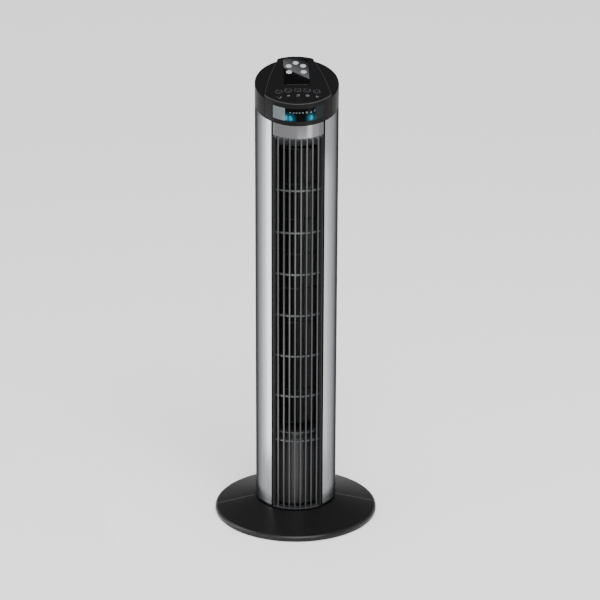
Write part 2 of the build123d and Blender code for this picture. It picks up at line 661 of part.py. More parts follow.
def housing_screws():
    one = screw(*HOUSING_SCREW)
    return group([radial(a, TOWER_R - SCREW_SINK + 0.05, z) * one for z in SCREW_ZS for a in SCREW_ANGLES])


def side_panel(side):
    """Silver skin from the grille's edge round to the rear housing; its foot draws in."""
    r_in = TOWER_R - SKIN
    foot_r, foot_top = TOWER_R - PANEL_FOOT_IN, TOWER_BOTTOM + PANEL_FOOT_UP
    profile = Polyline((r_in, TOWER_BOTTOM), (foot_r, TOWER_BOTTOM), (TOWER_R, foot_top), (TOWER_R, TOO_HIGH),
                       (r_in, TOO_HIGH), close=True)
    skin = revolve(Plane.XZ * make_face(profile), Axis.Z, PANEL_END - PANEL_START)
    turn = PANEL_START if side > 0 else -PANEL_END
    return below(Rot(0, 0, turn - 90) * skin, SEAM, SEAM_GAP / 2)


# ---------------------------------------------------------------- grille
def fin_x(i):
    return (i - (FIN_COUNT - 1) / 2) * FIN_PITCH


def seam_height(y):
    """Height of the seam plane over a point in plan."""
    return SEAM_Z + tan(radians(SEAM_TILT)) * y


def slot_ramp(x0, x1):
    """The sloping roof of one slot, from the band's lower edge inwards and down."""
    x = (x0 + x1) / 2
    y_front = -sqrt(TOWER_R ** 2 - x ** 2) - 1
    y_back = -sqrt(FIN_INNER_R ** 2 - x ** 2)
    z_front = seam_height(y_front) - BAND_HEIGHT
    wall = 3.0
    side = Polyline((y_front, z_front), (y_back, RAMP_FOOT_Z), (y_back, RAMP_FOOT_Z + wall),
                    (y_front, z_front + wall), close=True)
    sheet = extrude(Plane.YZ * make_face(side), x1 - x0)
    return Pos(x0, 0, 0) * sheet


def badge_block(grow):
    """The metal plate's outline, grown all round."""
    half = BADGE_ANGLE + degrees(grow / TOWER_R)
    plan = sector(TOWER_R - BADGE_THICK - grow, TOWER_R + 2 * grow, -half, half)
    block = prism(plan, RAMP_FOOT_Z, TOO_HIGH)
    foot = SEAM.offset(-BAND_HEIGHT * cos(radians(SEAM_TILT)) - grow)
    return above(below(block, SEAM, SEAM_GAP / 2 - grow), foot)


def badge_plate():
    """Brushed plate let into the grille's band; its front face is flush with the column."""
    return badge_block(0.0)


def fin_outlines(thickness):
    """The fins in plan: parallel sheets that run straight back, before they are trimmed to the ring."""
    return [Pos(fin_x(i), -TOWER_R) * Rectangle(thickness, TOWER_R) for i in range(FIN_COUNT)]


def grille_body():
    """Fins along the draw direction between two rails, each rail with a fixing flange behind the side panel."""
    ring = sector(FIN_INNER_R, TOWER_R, -GRILLE_EDGE, GRILLE_EDGE)
    plan = [f & ring for f in fin_outlines(FIN_THICK)]
    for s in (-1, 1):
        plan.append(sector(SHELL_INNER - 8, TOWER_R, s * RAIL_INNER_ANGLE, s * GRILLE_EDGE))
        plan.append(sector(SHELL_INNER - SHELL - SEAT, SHELL_INNER - SEAT, s * RAIL_INNER_ANGLE,
                           s * (GRILLE_EDGE + FLANGE_REACH)))
    return prism(plan[0] + plan[1:], TOWER_BOTTOM, TOO_HIGH)


def grille_band():
    """The plain band over the fins."""
    plan = sector(TOWER_R - HEAD_WALL, TOWER_R, -GRILLE_EDGE, GRILLE_EDGE)
    return above(prism(plan, RAMP_FOOT_Z, TOO_HIGH), SEAM.offset(-BAND_HEIGHT * cos(radians(SEAM_TILT))))


def grille_ribs():
    """The cross ribs, set back behind the fins' fronts."""
    arc = sector(RIB_OUTER_R - RIB_DEPTH, RIB_OUTER_R, -GRILLE_EDGE + 1, GRILLE_EDGE - 1)
    heights = [RIB_LOWEST_Z] + [RIB_SECOND_Z + i * RIB_PITCH for i in range(RIB_COUNT - 1)]
    return [prism(arc, z - RIB_HEIGHT / 2, z + RIB_HEIGHT / 2) for z in heights]


def slot_ramps():
    """The sloping roofs, one between each two neighbours of rails and fins."""
    rail_x = TOWER_R * sin(radians(RAIL_INNER_ANGLE + 1))
    walls = [-rail_x] + [fin_x(i) for i in range(FIN_COUNT)] + [rail_x]
    trim = prism(sector(FIN_INNER_R, TOWER_R, -GRILLE_EDGE, GRILLE_EDGE), RAMP_FOOT_Z - 1, TOO_HIGH)
    return [slot_ramp(x0, x1) & trim for x0, x1 in zip(walls, walls[1:])]


def grille():
    """One moulding: plain band on top, fins, ribs and rails, and a foot that closes it below."""
    foot_plan = sector(SHELL_INNER - 8, TOWER_R - 1.5, -GRILLE_EDGE + 1, GRILLE_EDGE - 1)
    foot = prism(foot_plan, TOWER_BOTTOM, TOWER_BOTTOM + GRILLE_FOOT)
    whole = grille_body().fuse(grille_band(), foot, *grille_ribs(), *slot_ramps())
    return below(whole, SEAM, SEAM_GAP / 2) - badge_block(SEAT)


# ---------------------------------------------------------------- plates and air path
def motor_plate():
    plate = disc(PLATE_R, MOTOR_PLATE_Z, MOTOR_PLATE_Z + PLATE)
    plate -= prism(front_sector(COVER_R - COVER_WALL - SEAT), 0, TOO_HIGH)
    plate -= BLOWER_AXIS * disc(BELL_SEAT_R + 1, 0, TOO_HIGH)
    for a in MOTOR_POST_ANGLES:
        plate -= BLOWER_AXIS * round_spot(MOTOR_POST_R, a) * disc(MOTOR_SCREW_HEAD[2] + SEAT, 0, TOO_HIGH)
    for hole in radial_screw_holes(MOTOR_PLATE_Z + PLATE / 2):
        plate -= hole
    plate -= Pos(LOOM_X, LOOM_Y, 0) * disc(LOOM_R + CLIP_WALL, 0, TOO_HIGH)
    return plate


def bearing_plate():
    """Carries the blower's upper bush in a rubber ring."""
    plate = disc(PLATE_R, BEARING_PLATE_Z, BEARING_PLATE_Z + PLATE)
    plate -= prism(front_sector(FIN_INNER_R - 1.5), 0, TOO_HIGH)
    plate -= BLOWER_AXIS * disc(DAMPER_R + SEAT, 0, TOO_HIGH)
    for hole in radial_screw_holes(BEARING_PLATE_Z + PLATE / 2):
        plate -= hole
    plate -= Pos(LOOM_X, LOOM_Y, 0) * disc(LOOM_R + CLIP_WALL, 0, TOO_HIGH)
    return plate


def bush_damper():
    ring = tube(BUSH_R + SEAT, DAMPER_R, BEARING_PLATE_Z - 1, BUSH_TOP)
    for z0, z1 in ((BEARING_PLATE_Z - 1, BEARING_PLATE_Z - SEAT), (BEARING_PLATE_Z + PLATE + SEAT, BUSH_TOP)):
        ring += tube(DAMPER_R - 1, DAMPER_R + DAMPER_LIP, z0, z1)
    return BLOWER_AXIS * ring


def upper_bush():
    return BLOWER_AXIS * tube(STUB_R + RUNNING, BUSH_R, BEARING_PLATE_Z - 1, BUSH_TOP)


def motor_cover():
    """Curved blank behind the fins, below the air outlet."""
    arc = sector(COVER_R - COVER_WALL, COVER_R, -GRILLE_EDGE - 6, GRILLE_EDGE + 6)
    sheet = prism(arc, TURNTABLE_TOP, MOTOR_PLATE_Z + PLATE)
    reach = fin_x(FIN_COUNT - 1) - FIN_THICK / 2 - 2 * SLIP
    shelf = sector(COVER_R - 1, SHELL_INNER - SHELL - 1, -GRILLE_EDGE + 7, GRILLE_EDGE - 7)
    shelf &= Rectangle(2 * reach, 4 * TOWER_R)
    ring = sector(FIN_INNER_R - SLIP, TOWER_R, -GRILLE_EDGE, GRILLE_EDGE)
    for fin in fin_outlines(FIN_THICK + 2 * SLIP):
        shelf -= fin & ring
    shelf = prism(shelf, MOTOR_PLATE_Z + PLATE - 2, MOTOR_PLATE_Z + PLATE)
    return sheet + shelf


def air_guide():
    """Rear wall of the blower's scroll: one sweeping sheet from the back to the outlet's left rail."""
    a, b, c = GUIDE_POINTS
    arc = ThreePointArc(a, b, c)
    sheet = offset(Wire([arc.edge()]) if not isinstance(arc, Wire) else arc, GUIDE_WALL / 2)
    return prism(make_face(sheet.edges()), AIR_Z0, AIR_Z1)


def air_tongue():
    """The stabiliser: a bent sheet that parts inlet from outlet on the right."""
    return prism(make_face(strip(TONGUE_POINTS, GUIDE_WALL).edges()), AIR_Z0, AIR_Z1)


# ---------------------------------------------------------------- blower
def blade_face():
    """One blade in plan: a thin arc leaning forwards."""
    def at(r, angle):
        return (r * cos(radians(angle)), r * sin(radians(angle)))

    half = degrees(BLADE_THICK / 2 / BLADE_INNER_R)
    outer_half = degrees(BLADE_THICK / 2 / BLADE_OUTER_R)
    mid_r = (BLADE_INNER_R + BLADE_OUTER_R) / 2
    mid_a = BLADE_LEAN / 2 - degrees(BLADE_BELLY / mid_r)
    mid_half = degrees(BLADE_THICK / 2 / mid_r)
    low = ThreePointArc(at(BLADE_INNER_R, -half), at(mid_r, mid_a - mid_half),
                        at(BLADE_OUTER_R, BLADE_LEAN - outer_half))
    high = ThreePointArc(at(BLADE_OUTER_R, BLADE_LEAN + outer_half), at(mid_r, mid_a + mid_half),
                         at(BLADE_INNER_R, half))
    return make_face([low, Line(low @ 1, high @ 0), high, Line(high @ 1, low @ 0)])


def blower_stages():
    """Moulded stages, each a ring with its blades, stacked and welded; the last is closed by a plain ring."""
    stage_height = (BLOWER_TOP - BLOWER_BOTTOM - RING_THICK) / STAGE_COUNT
    blade = blade_face()
    ring = prism(Circle(BLADE_OUTER_R + RING_OUT) - Circle(BLADE_INNER_R - RING_IN), 0, RING_THICK)
    turns = [Rot(0, 0, i * 360 / BLADE_COUNT) for i in range(BLADE_COUNT)]
    stage = ring.fuse(*[prism(turn * blade, RING_THICK, stage_height) for turn in turns])
    stages = [BLOWER_AXIS * Pos(0, 0, BLOWER_BOTTOM + i * stage_height) * stage for i in range(STAGE_COUNT)]
    stages.append(BLOWER_AXIS * Pos(0, 0, BLOWER_TOP - RING_THICK) * ring)
    return group(stages)


def blower_hub():
    """Lower end disc with a clamp hub on the motor shaft."""
    plate = disc(END_DISC_R, BLOWER_BOTTOM, BLOWER_BOTTOM + END_DISC)
    hub = disc(HUB_R, BLOWER_BOTTOM, HUB_Z1)
    solid = plate + hub - disc(MOTOR_SHAFT_R + PRESS, 0, TOO_HIGH)
    solid -= Pos(HUB_R - 5, 0, HUB_Z1 - HUB_SCREW_DROP) * Rot(0, 90, 0) * Cylinder(HUB_SCREW_R + SEAT, 12)
    return BLOWER_AXIS * solid


def hub_screw():
    grub = Rot(0, 90, 0) * Cylinder(HUB_SCREW_R, HUB_SCREW_L)
    return Pos(MOTOR_SHAFT_R + SEAT + HUB_SCREW_L / 2, BLOWER_Y, HUB_Z1 - HUB_SCREW_DROP) * grub


def top_end():
    """Upper end disc with the stub shaft that runs in the bush."""
    plate = disc(END_DISC_R, BLOWER_TOP - END_DISC, BLOWER_TOP)
    boss = disc(3 * STUB_R, BLOWER_TOP - 14, BLOWER_TOP + 3)
    stub = disc(STUB_R, BLOWER_TOP, BUSH_TOP + 2)
    return BLOWER_AXIS * (plate + boss + stub)


# ---------------------------------------------------------------- motor
def stator():
    """Stack of laminations: round outside with four flats, slotted bore."""
    outline = Circle(STATOR_R) & Rectangle(STATOR_R * 1.88, STATOR_R * 1.88)
    outline -= Circle(STATOR_BORE)
    for i in range(STACK_SLOTS):
        outline -= round_spot(STATOR_BORE + 4.2, i * 360 / STACK_SLOTS) * SlotOverall(*STACK_SLOT)
    for a in MOTOR_POST_ANGLES:
        outline -= round_spot(MOTOR_POST_R, a) * Circle(LUG_BORE + SEAT)
    return BLOWER_AXIS * prism(outline, STATOR_Z, STATOR_Z1)


def windings():
    """The end turns above and below the stack."""
    lower = tube(STATOR_BORE + COIL_INSET, STATOR_R - COIL_RIM, STATOR_Z - COIL_HEIGHT, STATOR_Z)
    upper = tube(STATOR_BORE + COIL_INSET, STATOR_R - COIL_RIM, STATOR_Z1, STATOR_Z1 + COIL_HEIGHT)
    rounded = []
    for ring in (lower, upper):
        faces = ring.faces().filter_by(Axis.Z).sort_by(Axis.Z)
        free = faces[0] if ring is lower else faces[-1]
        rounded.append(fillet(free.edges(), 2.5))
    return group([BLOWER_AXIS * r for r in rounded])


def end_bell(z_open, direction):
    """Pressed cover with a bush seat; it opens towards the stack at z_open."""
    r_out = STATOR_R - BELL_INSET
    lug_top, past = BELL_DEPTH - 0.5, BELL_DEPTH + 5
    cup = disc(r_out, 0, BELL_DEPTH) - disc(r_out - BELL_THICK, -1, BELL_DEPTH - BELL_THICK)
    cup += disc(BELL_SEAT_R, BELL_DEPTH - BELL_SEAT_DEPTH, BELL_DEPTH + BELL_THICK)
    cup -= disc(MOTOR_SHAFT_R + RUNNING, -1, past)
    for i in range(VENT_COUNT):
        cup -= round_spot(r_out - 12, (i + 0.5) * 360 / VENT_COUNT, BELL_DEPTH) * Box(9, 5, 3 * BELL_THICK)
    for a in MOTOR_POST_ANGLES:
        spot = round_spot(MOTOR_POST_R, a)
        cup -= spot * (disc(LUG_R - SEAT, -1, past) + disc(LUG_R + 0.5, lug_top, past))
        cup += spot * tube(LUG_BORE, LUG_R, 0, lug_top)
    if direction < 0:
        cup = Rot(180, 0, 0) * cup
    return BLOWER_AXIS * Pos(0, 0, z_open) * cup


def end_bells():
    return group([end_bell(STATOR_Z1 + BELL_GAP / 2, 1), end_bell(STATOR_Z - BELL_GAP / 2, -1)])


def motor_dampers():
    """Rubber bushes between the motor's lugs and the plate above it."""
    ring = tube(LUG_BORE, LUG_R + 0.2, UPPER_BELL_TOP, MOTOR_PLATE_Z)
    return group([BLOWER_AXIS * round_spot(MOTOR_POST_R, a) * ring for a in MOTOR_POST_ANGLES])


def motor_screws():
    """Long screws from the plate down through dampers, bells and stack."""
    head_r, head_h, shank_r = MOTOR_SCREW_HEAD
    one = screw(head_r, head_h, shank_r, MOTOR_PLATE_Z + PLATE - LOWER_BELL_BOTTOM + 3.0)
    nut = Pos(0, 0, -3.0) * extrude(RegularPolygon(head_r, 6) - Circle(shank_r + PRESS), NUT_THICK)
    places = []
    for a in MOTOR_POST_ANGLES:
        spot = BLOWER_AXIS * round_spot(MOTOR_POST_R, a)
        places.append(spot * Pos(0, 0, MOTOR_PLATE_Z + PLATE) * one)
        places.append(spot * Pos(0, 0, LOWER_BELL_BOTTOM + 0.5) * nut)
    return group(places)


def rotor():
    """Squirrel cage on the shaft, with its cast end rings."""
    cage = tube(MOTOR_SHAFT_R + PRESS, ROTOR_R, STATOR_Z + 0.5, STATOR_Z1 - 0.5)
    for z0, z1 in ((STATOR_Z - CAGE_RISE, STATOR_Z + 0.5), (STATOR_Z1 - 0.5, STATOR_Z1 + CAGE_RISE)):
        cage += tube(ROTOR_R - CAGE_RIM, ROTOR_R - 0.6, z0, z1)
    return BLOWER_AXIS * cage


def motor_shaft():
    bottom = LOWER_BELL_BOTTOM - 5.5
    shaft = disc(MOTOR_SHAFT_R, bottom, HUB_Z1 + 1.5)
    return BLOWER_AXIS * chamfer(shaft.edges(), 0.4)


# ---------------------------------------------------------------- head
def panel_outline(grow=0.0):
    """The control panel in plan; it runs past the column's circle at the front and the back."""
    reach = TOWER_R + 20
    front, middle, back = PANEL_FRONT_X + grow, PANEL_MID_X + grow, PANEL_BACK_X + grow
    left, right = [ThreePointArc((s * front, PANEL_FRONT_Y), (s * middle, 0), (s * back, PANEL_BACK_Y))
                   for s in (-1, 1)]
    inset = back - 3
    return make_face([
        left, Line(left @ 1, (-inset, reach)), Line((-inset, reach), (inset, reach)),
        Line((inset, reach), right @ 1), right, Line(right @ 0, (front, -reach)),
        Line((front, -reach), (-front, -reach)), Line((-front, -reach), left @ 0)])


def head_slab(r, lower, upper):
    """The part of the head's cylinder between two of its sloping planes."""
    return above(below(prism(Circle(r), UNDER_HEAD, TOO_HIGH), upper), lower)


def cap_ring():
    """Black ring with the two side wings; open in front and on top for the control panel."""
    body = head_slab(TOWER_R, SEAM.offset(SEAM_GAP / 2), WING)
    rim = [e for e in body.edges() if e.center().Z > SEAM_Z + 5]
    body = fillet(rim, WING_ROUND)
    body -= head_slab(TOWER_R - HEAD_WALL, SEAM.offset(-50), WING.offset(-HEAD_WALL))
    through = prism(panel_outline(PANEL_GAP), UNDER_HEAD, TOO_HIGH)
    front = split(through, bisect_by=Plane.XZ.offset(-PANEL_FRONT_Y - 4), keep=Keep.TOP)
    inner = through & head_slab(TOWER_R - HEAD_WALL, SEAM.offset(-50), TOP.offset(20))
    return body - front - inner


def window_block(r_in, r_out, grow):
    """The display window's outline as a curved block, grown all round."""
    half = DISPLAY_ANGLE + degrees(grow / TOWER_R)
    block = prism(sector(r_in, r_out, -half, half), UNDER_HEAD, SEAM_Z + 60)
    low = SEAM.offset(DISPLAY_LOW * cos(radians(SEAM_TILT)) - grow)
    high = SEAM.offset(DISPLAY_HIGH * cos(radians(SEAM_TILT)) + grow)
    return above(below(block, high), low)


def rounded_block(width, length, corner, v, w0, w1):
    """A block with rounded corners on the sloping face, from depth w0 to w1."""
    plan = Pos(0, v) * RectangleRounded(width, length, corner)
    return TOP * Pos(0, 0, w0) * extrude(plan, w1 - w0)


def button_spot(i):
    """(u, v) of a button on the sloping face, i from -2 to 2."""
    return (i * BUTTON_PITCH, BUTTON_ROW_V - BUTTON_ROW_SAG * (i / 2) ** 2)


def control_panel():
    """Raised bonnet: top face with button holes and the remote's dock, front wall with the display opening."""
    outline = prism(panel_outline(), UNDER_HEAD, TOO_HIGH)
    slab = head_slab(TOWER_R, WING.offset(0.1), TOP) & outline
    wall = head_slab(TOWER_R, SEAM.offset(SEAM_GAP / 2), TOP)
    wall -= head_slab(TOWER_R - HEAD_WALL, SEAM.offset(-50), TOP.offset(20))
    wall = split(wall & outline, bisect_by=Plane.XZ.offset(-PANEL_FRONT_Y), keep=Keep.TOP)
    body = slab + wall
    upright = body.edges().filter_by(Axis.Z).filter_by(lambda e: e.center().Y > PANEL_BACK_Y - 5)
    body = fillet([e for e in upright if abs(e.center().X) > PANEL_BACK_X / 2], PANEL_CORNER)
    lip = [e for e in body.edges() if abs((e.center() - TOP.origin).dot(TOP.z_dir)) < 0.05]
    body = fillet(lip, PANEL_LIP)
    tray = rounded_block(REMOTE_W + 2 * (DOCK_GAP + DOCK_WALL), REMOTE_L + 2 * (DOCK_GAP + DOCK_WALL),
                         REMOTE_CORNER + DOCK_WALL, REMOTE_V, DOCK_FLOOR - DOCK_WALL, -1.0)
    tray &= prism(Circle(TOWER_R - HEAD_WALL - SEAT), SEAM_Z, TOO_HIGH)
    body += tray
    body -= rounded_block(REMOTE_W + 2 * DOCK_GAP, REMOTE_L + 2 * DOCK_GAP, REMOTE_CORNER + DOCK_GAP, REMOTE_V,
                          DOCK_FLOOR, 20)
    body -= window_block(TOWER_R - 10, TOWER_R + 10, SEAT)
    for i in range(-2, 3):
        u, v = button_spot(i)
        body -= TOP * Pos(u, v, 0) * Cylinder(BUTTON_R + BUTTON_GAP, 20)
    for u, v in SCREW_SPOTS:
        body += TOP * Pos(u, v, -POST_DEPTH) * extrude(Circle(SCREW_POST_R), POST_DEPTH - WING_DROP + 1.0)
        body -= TOP * Pos(u, v, -POST_DEPTH) * Cylinder(BOARD_SCREW[2] + SEAT, 12)
    return body


def display_window():
    """Dark lens, flush in the front wall, with a flange behind it."""
    behind = TOWER_R - HEAD_WALL - SEAT
    plug = window_block(behind, TOWER_R, 0.0)
    return plug + window_block(behind - WINDOW_FLANGE_T, behind, WINDOW_FLANGE)


def display_module():
    """Lamp blocks and receiver on a small upright board; its ends reach back to the panel's front wall."""
    board = Pos(0, MODULE_Y, MODULE_Z) * Box(MODULE_W, MODULE_T, MODULE_H)
    front = MODULE_Y - MODULE_T / 2
    lamps = [Pos(x, front - 2.0, MODULE_Z - 2) * Box(12, 4, 11) for x in (-19, 19)]
    lamps.append(Pos(0, front - 1.5, MODULE_Z + 5.5) * Box(52, 3, 4))
    lamps.append(Pos(0, front - 2.0, MODULE_Z - 2) * Box(6, 4, 7))
    lamps.append(Pos(0, front - 3.8, MODULE_Z - 1) * Sphere(2.2))
    return board.fuse(*lamps)


def control_board():
    plan = Pos(0, -37) * RectangleRounded(92, 36, 3)
    board = TOP * Pos(0, 0, -BOARD_DEPTH - BOARD_THICK) * extrude(plan, BOARD_THICK)
    tongue = Pos(0, -6) * Rectangle(86, 30)
    board += TOP * Pos(0, 0, -BOARD_DEPTH - BOARD_THICK) * extrude(tongue, BOARD_THICK)
    board &= prism(Circle(TOWER_R - HEAD_WALL - SLIP), UNDER_HEAD, TOO_HIGH)
    for u, v in SCREW_SPOTS:
        board -= TOP * Pos(u, v, -BOARD_DEPTH) * Cylinder(1.3, 10)
    return board


def board_screws():
    one = Rot(180, 0, 0) * screw(*BOARD_SCREW)
    return group([TOP * Pos(u, v, -BOARD_DEPTH - BOARD_THICK) * one for u, v in SCREW_SPOTS])


def tact_switches():
    solids = []
    for i in range(-2, 3):
        u, v = button_spot(i)
        case = Pos(u, v, -BOARD_DEPTH + SWITCH_HEIGHT / 2) * Box(SWITCH_SIZE, SWITCH_SIZE, SWITCH_HEIGHT)
        plunger = Pos(u, v, -SWITCH_TOP + PLUNGER_HEIGHT / 2) * Cylinder(PLUNGER_R, PLUNGER_HEIGHT)
        solids.append(TOP * (case + plunger))
    return group(solids)


def panel_button(i):
    """Round cap with a retaining flange under the face and a stem down to its switch."""
    u, v = button_spot(i)
    under = -WING_DROP - 0.05
    cap = Pos(0, 0, (BUTTON_PROUD + under) / 2) * Cylinder(BUTTON_R, BUTTON_PROUD - under)
    cap = fillet(cap.edges().sort_by(Axis.Z)[-1], 0.5)
    dish = Pos(0, 0, BUTTON_PROUD + DISH_R - DISH_DEPTH) * Sphere(DISH_R)
    flange = Pos(0, 0, under - BUTTON_FLANGE_T / 2) * Cylinder(BUTTON_R + BUTTON_FLANGE, BUTTON_FLANGE_T)
    stem_top = under - BUTTON_FLANGE_T
    stem = Pos(0, 0, (stem_top + STEM_END) / 2) * Cylinder(BUTTON_STEM_R, stem_top - STEM_END)
    return TOP * Pos(u, v, 0) * (cap - dish + flange + stem)


# ---------------------------------------------------------------- remote
def remote_case():
    """Lower shell of the remote: hollow, with a channel for the battery tray at its front end."""
    body = rounded_block(REMOTE_W, REMOTE_L, REMOTE_CORNER, REMOTE_V, REMOTE_BOTTOM, FACE_UNDER)
    floor_edges = [e for e in body.edges() if (e.center() - TOP.origin).dot(TOP.z_dir) < REMOTE_BOTTOM + 0.05]
    body = chamfer(floor_edges, 0.6)
    body -= rounded_block(REMOTE_W - 2 * CASE_WALL, REMOTE_L - 2 * CASE_WALL, REMOTE_CORNER - CASE_WALL,
                          REMOTE_V, TRAY_TOP_W + SLIP, 5)
    channel = Box(TRAY_W + 2 * DRAWER_GAP, TRAY_L + 2.4, TRAY_T + SLIP)
    body -= TOP * Pos(0, REMOTE_V0 + TRAY_L / 2 - 1, TRAY_MID_W) * channel
    return body - rounded_block(KEY_ROOM_W, KEY_ROOM_L, 3, KEY_ROOM_V, REMOTE_BOTTOM + CASE_FLOOR + SLIP, 5)


def remote_face():
    """Gloss face plate with five round key holes."""
    plate = rounded_block(REMOTE_W, REMOTE_L, REMOTE_CORNER, REMOTE_V, FACE_UNDER, REMOTE_PROUD)
    rim = [e for e in plate.edges() if (e.center() - TOP.origin).dot(TOP.z_dir) > REMOTE_PROUD - 0.05]
    plate = fillet(rim, 0.5)
    for u, v in KEY_SPOTS.values():
        plate -= TOP * Pos(u, v, 0) * Cylinder(KEY_R + KEY_GAP, 10)
    return plate


def remote_key(u, v):
    """Domed round key with a flange under the face plate."""
    top = REMOTE_PROUD + KEY_PROUD
    under = FACE_UNDER - SEAT
    cap = Pos(0, 0, (top + under) / 2) * Cylinder(KEY_R, top - under)
    cap = fillet(cap.edges().sort_by(Axis.Z)[-1], 0.4)
    flange = Pos(0, 0, under - KEY_FLANGE_T / 2) * Cylinder(KEY_R + KEY_FLANGE, KEY_FLANGE_T)
    return TOP * Pos(u, v, 0) * (cap + flange)


def remote_board():
    """Contact board under the keys."""
    w0 = REMOTE_BOTTOM + CASE_FLOOR + SLIP + SEAT
    w1 = FACE_UNDER - KEY_FLANGE_T - KEY_TRAVEL - 2 * SEAT
    return rounded_block(KEY_ROOM_W - 1, KEY_ROOM_L - 1, 2.5, KEY_ROOM_V, w0, w1)


def remote_tray():
    """Battery drawer with its grip bar flush with the remote's end."""
    tray = TOP * Pos(0, REMOTE_V0 + TRAY_L / 2, TRAY_MID_W) * Box(TRAY_W, TRAY_L, TRAY_T)
    return tray - TOP * Pos(0, CELL_V, TRAY_TOP_W) * Cylinder(CELL_R + SEAT, 2 * (CELL_T + SEAT))


def remote_cell():
    """Coin cell lying in the drawer."""
    return TOP * Pos(0, CELL_V, TRAY_TOP_W - CELL_T / 2 - SEAT / 2) * Cylinder(CELL_R, CELL_T)


# ---------------------------------------------------------------- electrics in the column
def power_board():
    """Supply board with its relay, choke and run capacitor, upright behind the motor."""
    board = Pos(0, SUPPLY_Y, SUPPLY_Z) * Box(SUPPLY_SIZE, BOARD_THICK, SUPPLY_SIZE)
    parts = []
    for x, z, size in SUPPLY_PARTS:
        parts.append(Pos(x, SUPPLY_Y - BOARD_THICK / 2 - size[1] / 2, z) * Box(*size))
    foot_y = SUPPLY_Y + BOARD_THICK / 2 + SUPPLY_FOOT[1] / 2
    for s in (-1, 1):
        parts.append(Pos(s * SUPPLY_FOOT_X, foot_y, TURNTABLE_TOP + SUPPLY_FOOT[2] / 2) * Box(*SUPPLY_FOOT))
    return board.fuse(*parts)


def wiring_loom():
    """Sleeved wires up the inlet side, from the motor space to the head."""
    x, y = LOOM_X, LOOM_Y
    path = FilletPolyline(LOOM_START, (x - 2, y + 6, LOOM_KNEE_Z), (x, y, MOTOR_PLATE_Z + 3),
                          (x, y, BEARING_PLATE_Z + 15), (x - 12, y - 16, SEAM_Z - 20), (x - 14, y - 36, SEAM_Z),
                          radius=LOOM_BEND)
    section = Plane(origin=path @ 0, z_dir=path % 0) * Circle(LOOM_R)
    return sweep(section, path)


# ---------------------------------------------------------------- write the nodes
base_front, base_rear = base_halves()
save("base_front", base_front)
save("base_rear", base_rear)
save("base_feet", base_feet())
save("cord_gland", cord_gland())
save("neck_hub", neck_hub())
save("neck_screws", neck_screws())
save("neck_cap", neck_cap())
save("glide_ring", tube(GLIDE_INNER, GLIDE_OUTER, BASE_FLAT_Z, BASE_FLAT_Z + GLIDE_THICK))
save("sector_gear", sector_gear())
save("swing_pinion", swing_pinion())
save("turntable", turntable())
save("swing_motor", swing_motor())
save("rear_housing", rear_housing())
save("housing_screws", housing_screws())
save("side_panel_left", side_panel(-1))
save("side_panel_right", side_panel(1))
save("grille", grille())
save("badge_plate", badge_plate())
save("motor_plate", motor_plate())
save("motor_cover", motor_cover())
save("bearing_plate", bearing_plate())
save("bush_damper", bush_damper())
save("upper_bush", upper_bush())
save("air_guide", air_guide())
save("air_tongue", air_tongue())
save("blower_wheel", blower_stages())
save("blower_hub", blower_hub())
save("hub_screw", hub_screw())
save("blower_top_end", top_end())
save("motor_stator", stator())
save("motor_windings", windings())
save("motor_end_bells", end_bells())
save("motor_dampers", motor_dampers())
save("motor_screws", motor_screws())
save("motor_rotor", rotor())
save("motor_shaft", motor_shaft())
save("cap_ring", cap_ring())
save("control_panel", control_panel())
save("display_window", display_window())
save("display_module", display_module())
save("control_board", control_board())
save("small_screws", group([swing_motor_screws(), board_screws()]))
save("tact_switches", tact_switches())
for index, title in enumerate(("swing", "ion", "power", "timer", "speed")):
    save(f"button_{title}", panel_button(index - 2))
save("remote_case", remote_case())
save("remote_face", remote_face())
save("remote_board", remote_board())
save("remote_tray", remote_tray())
save("remote_cell", remote_cell())
for title, spot in KEY_SPOTS.items():
    save(f"remote_key_{title}", remote_key(*spot))
save("power_board", power_board())
save("wiring_loom", wiring_loom())
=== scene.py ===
# %% [markdown]
# # Tower fan: the looks
# The frame comes from CAD: every piece with a real size is already in it, in metres, with the floor at z 0
# and the air outlet facing -Y. This file gives those pieces their finishes, adds the small printed and lit
# details that are too thin for CAD, and sets up a plain studio.

# %% Load the frame
import json
import math

import bmesh
import bpy
from mathutils import Matrix, Vector


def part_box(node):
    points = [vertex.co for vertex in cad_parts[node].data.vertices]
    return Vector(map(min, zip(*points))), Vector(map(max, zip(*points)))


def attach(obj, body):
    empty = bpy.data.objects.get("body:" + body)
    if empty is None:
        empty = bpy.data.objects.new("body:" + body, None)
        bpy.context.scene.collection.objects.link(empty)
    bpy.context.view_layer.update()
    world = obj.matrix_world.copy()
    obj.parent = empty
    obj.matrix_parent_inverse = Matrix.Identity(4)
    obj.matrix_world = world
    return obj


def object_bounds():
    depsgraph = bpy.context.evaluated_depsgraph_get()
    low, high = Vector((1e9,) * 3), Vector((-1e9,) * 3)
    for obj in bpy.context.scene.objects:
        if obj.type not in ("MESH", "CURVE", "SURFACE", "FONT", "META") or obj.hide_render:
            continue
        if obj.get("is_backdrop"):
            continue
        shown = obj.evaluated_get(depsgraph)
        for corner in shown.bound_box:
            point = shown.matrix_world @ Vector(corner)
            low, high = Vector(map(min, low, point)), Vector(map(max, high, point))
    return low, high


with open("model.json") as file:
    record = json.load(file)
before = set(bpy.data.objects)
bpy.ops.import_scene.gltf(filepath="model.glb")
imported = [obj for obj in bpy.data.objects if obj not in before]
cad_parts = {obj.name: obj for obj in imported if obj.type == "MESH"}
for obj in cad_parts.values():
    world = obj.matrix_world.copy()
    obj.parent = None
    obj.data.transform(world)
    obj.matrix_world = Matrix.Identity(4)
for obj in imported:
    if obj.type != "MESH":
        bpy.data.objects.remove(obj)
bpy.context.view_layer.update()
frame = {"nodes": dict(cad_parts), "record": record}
record = frame["record"]

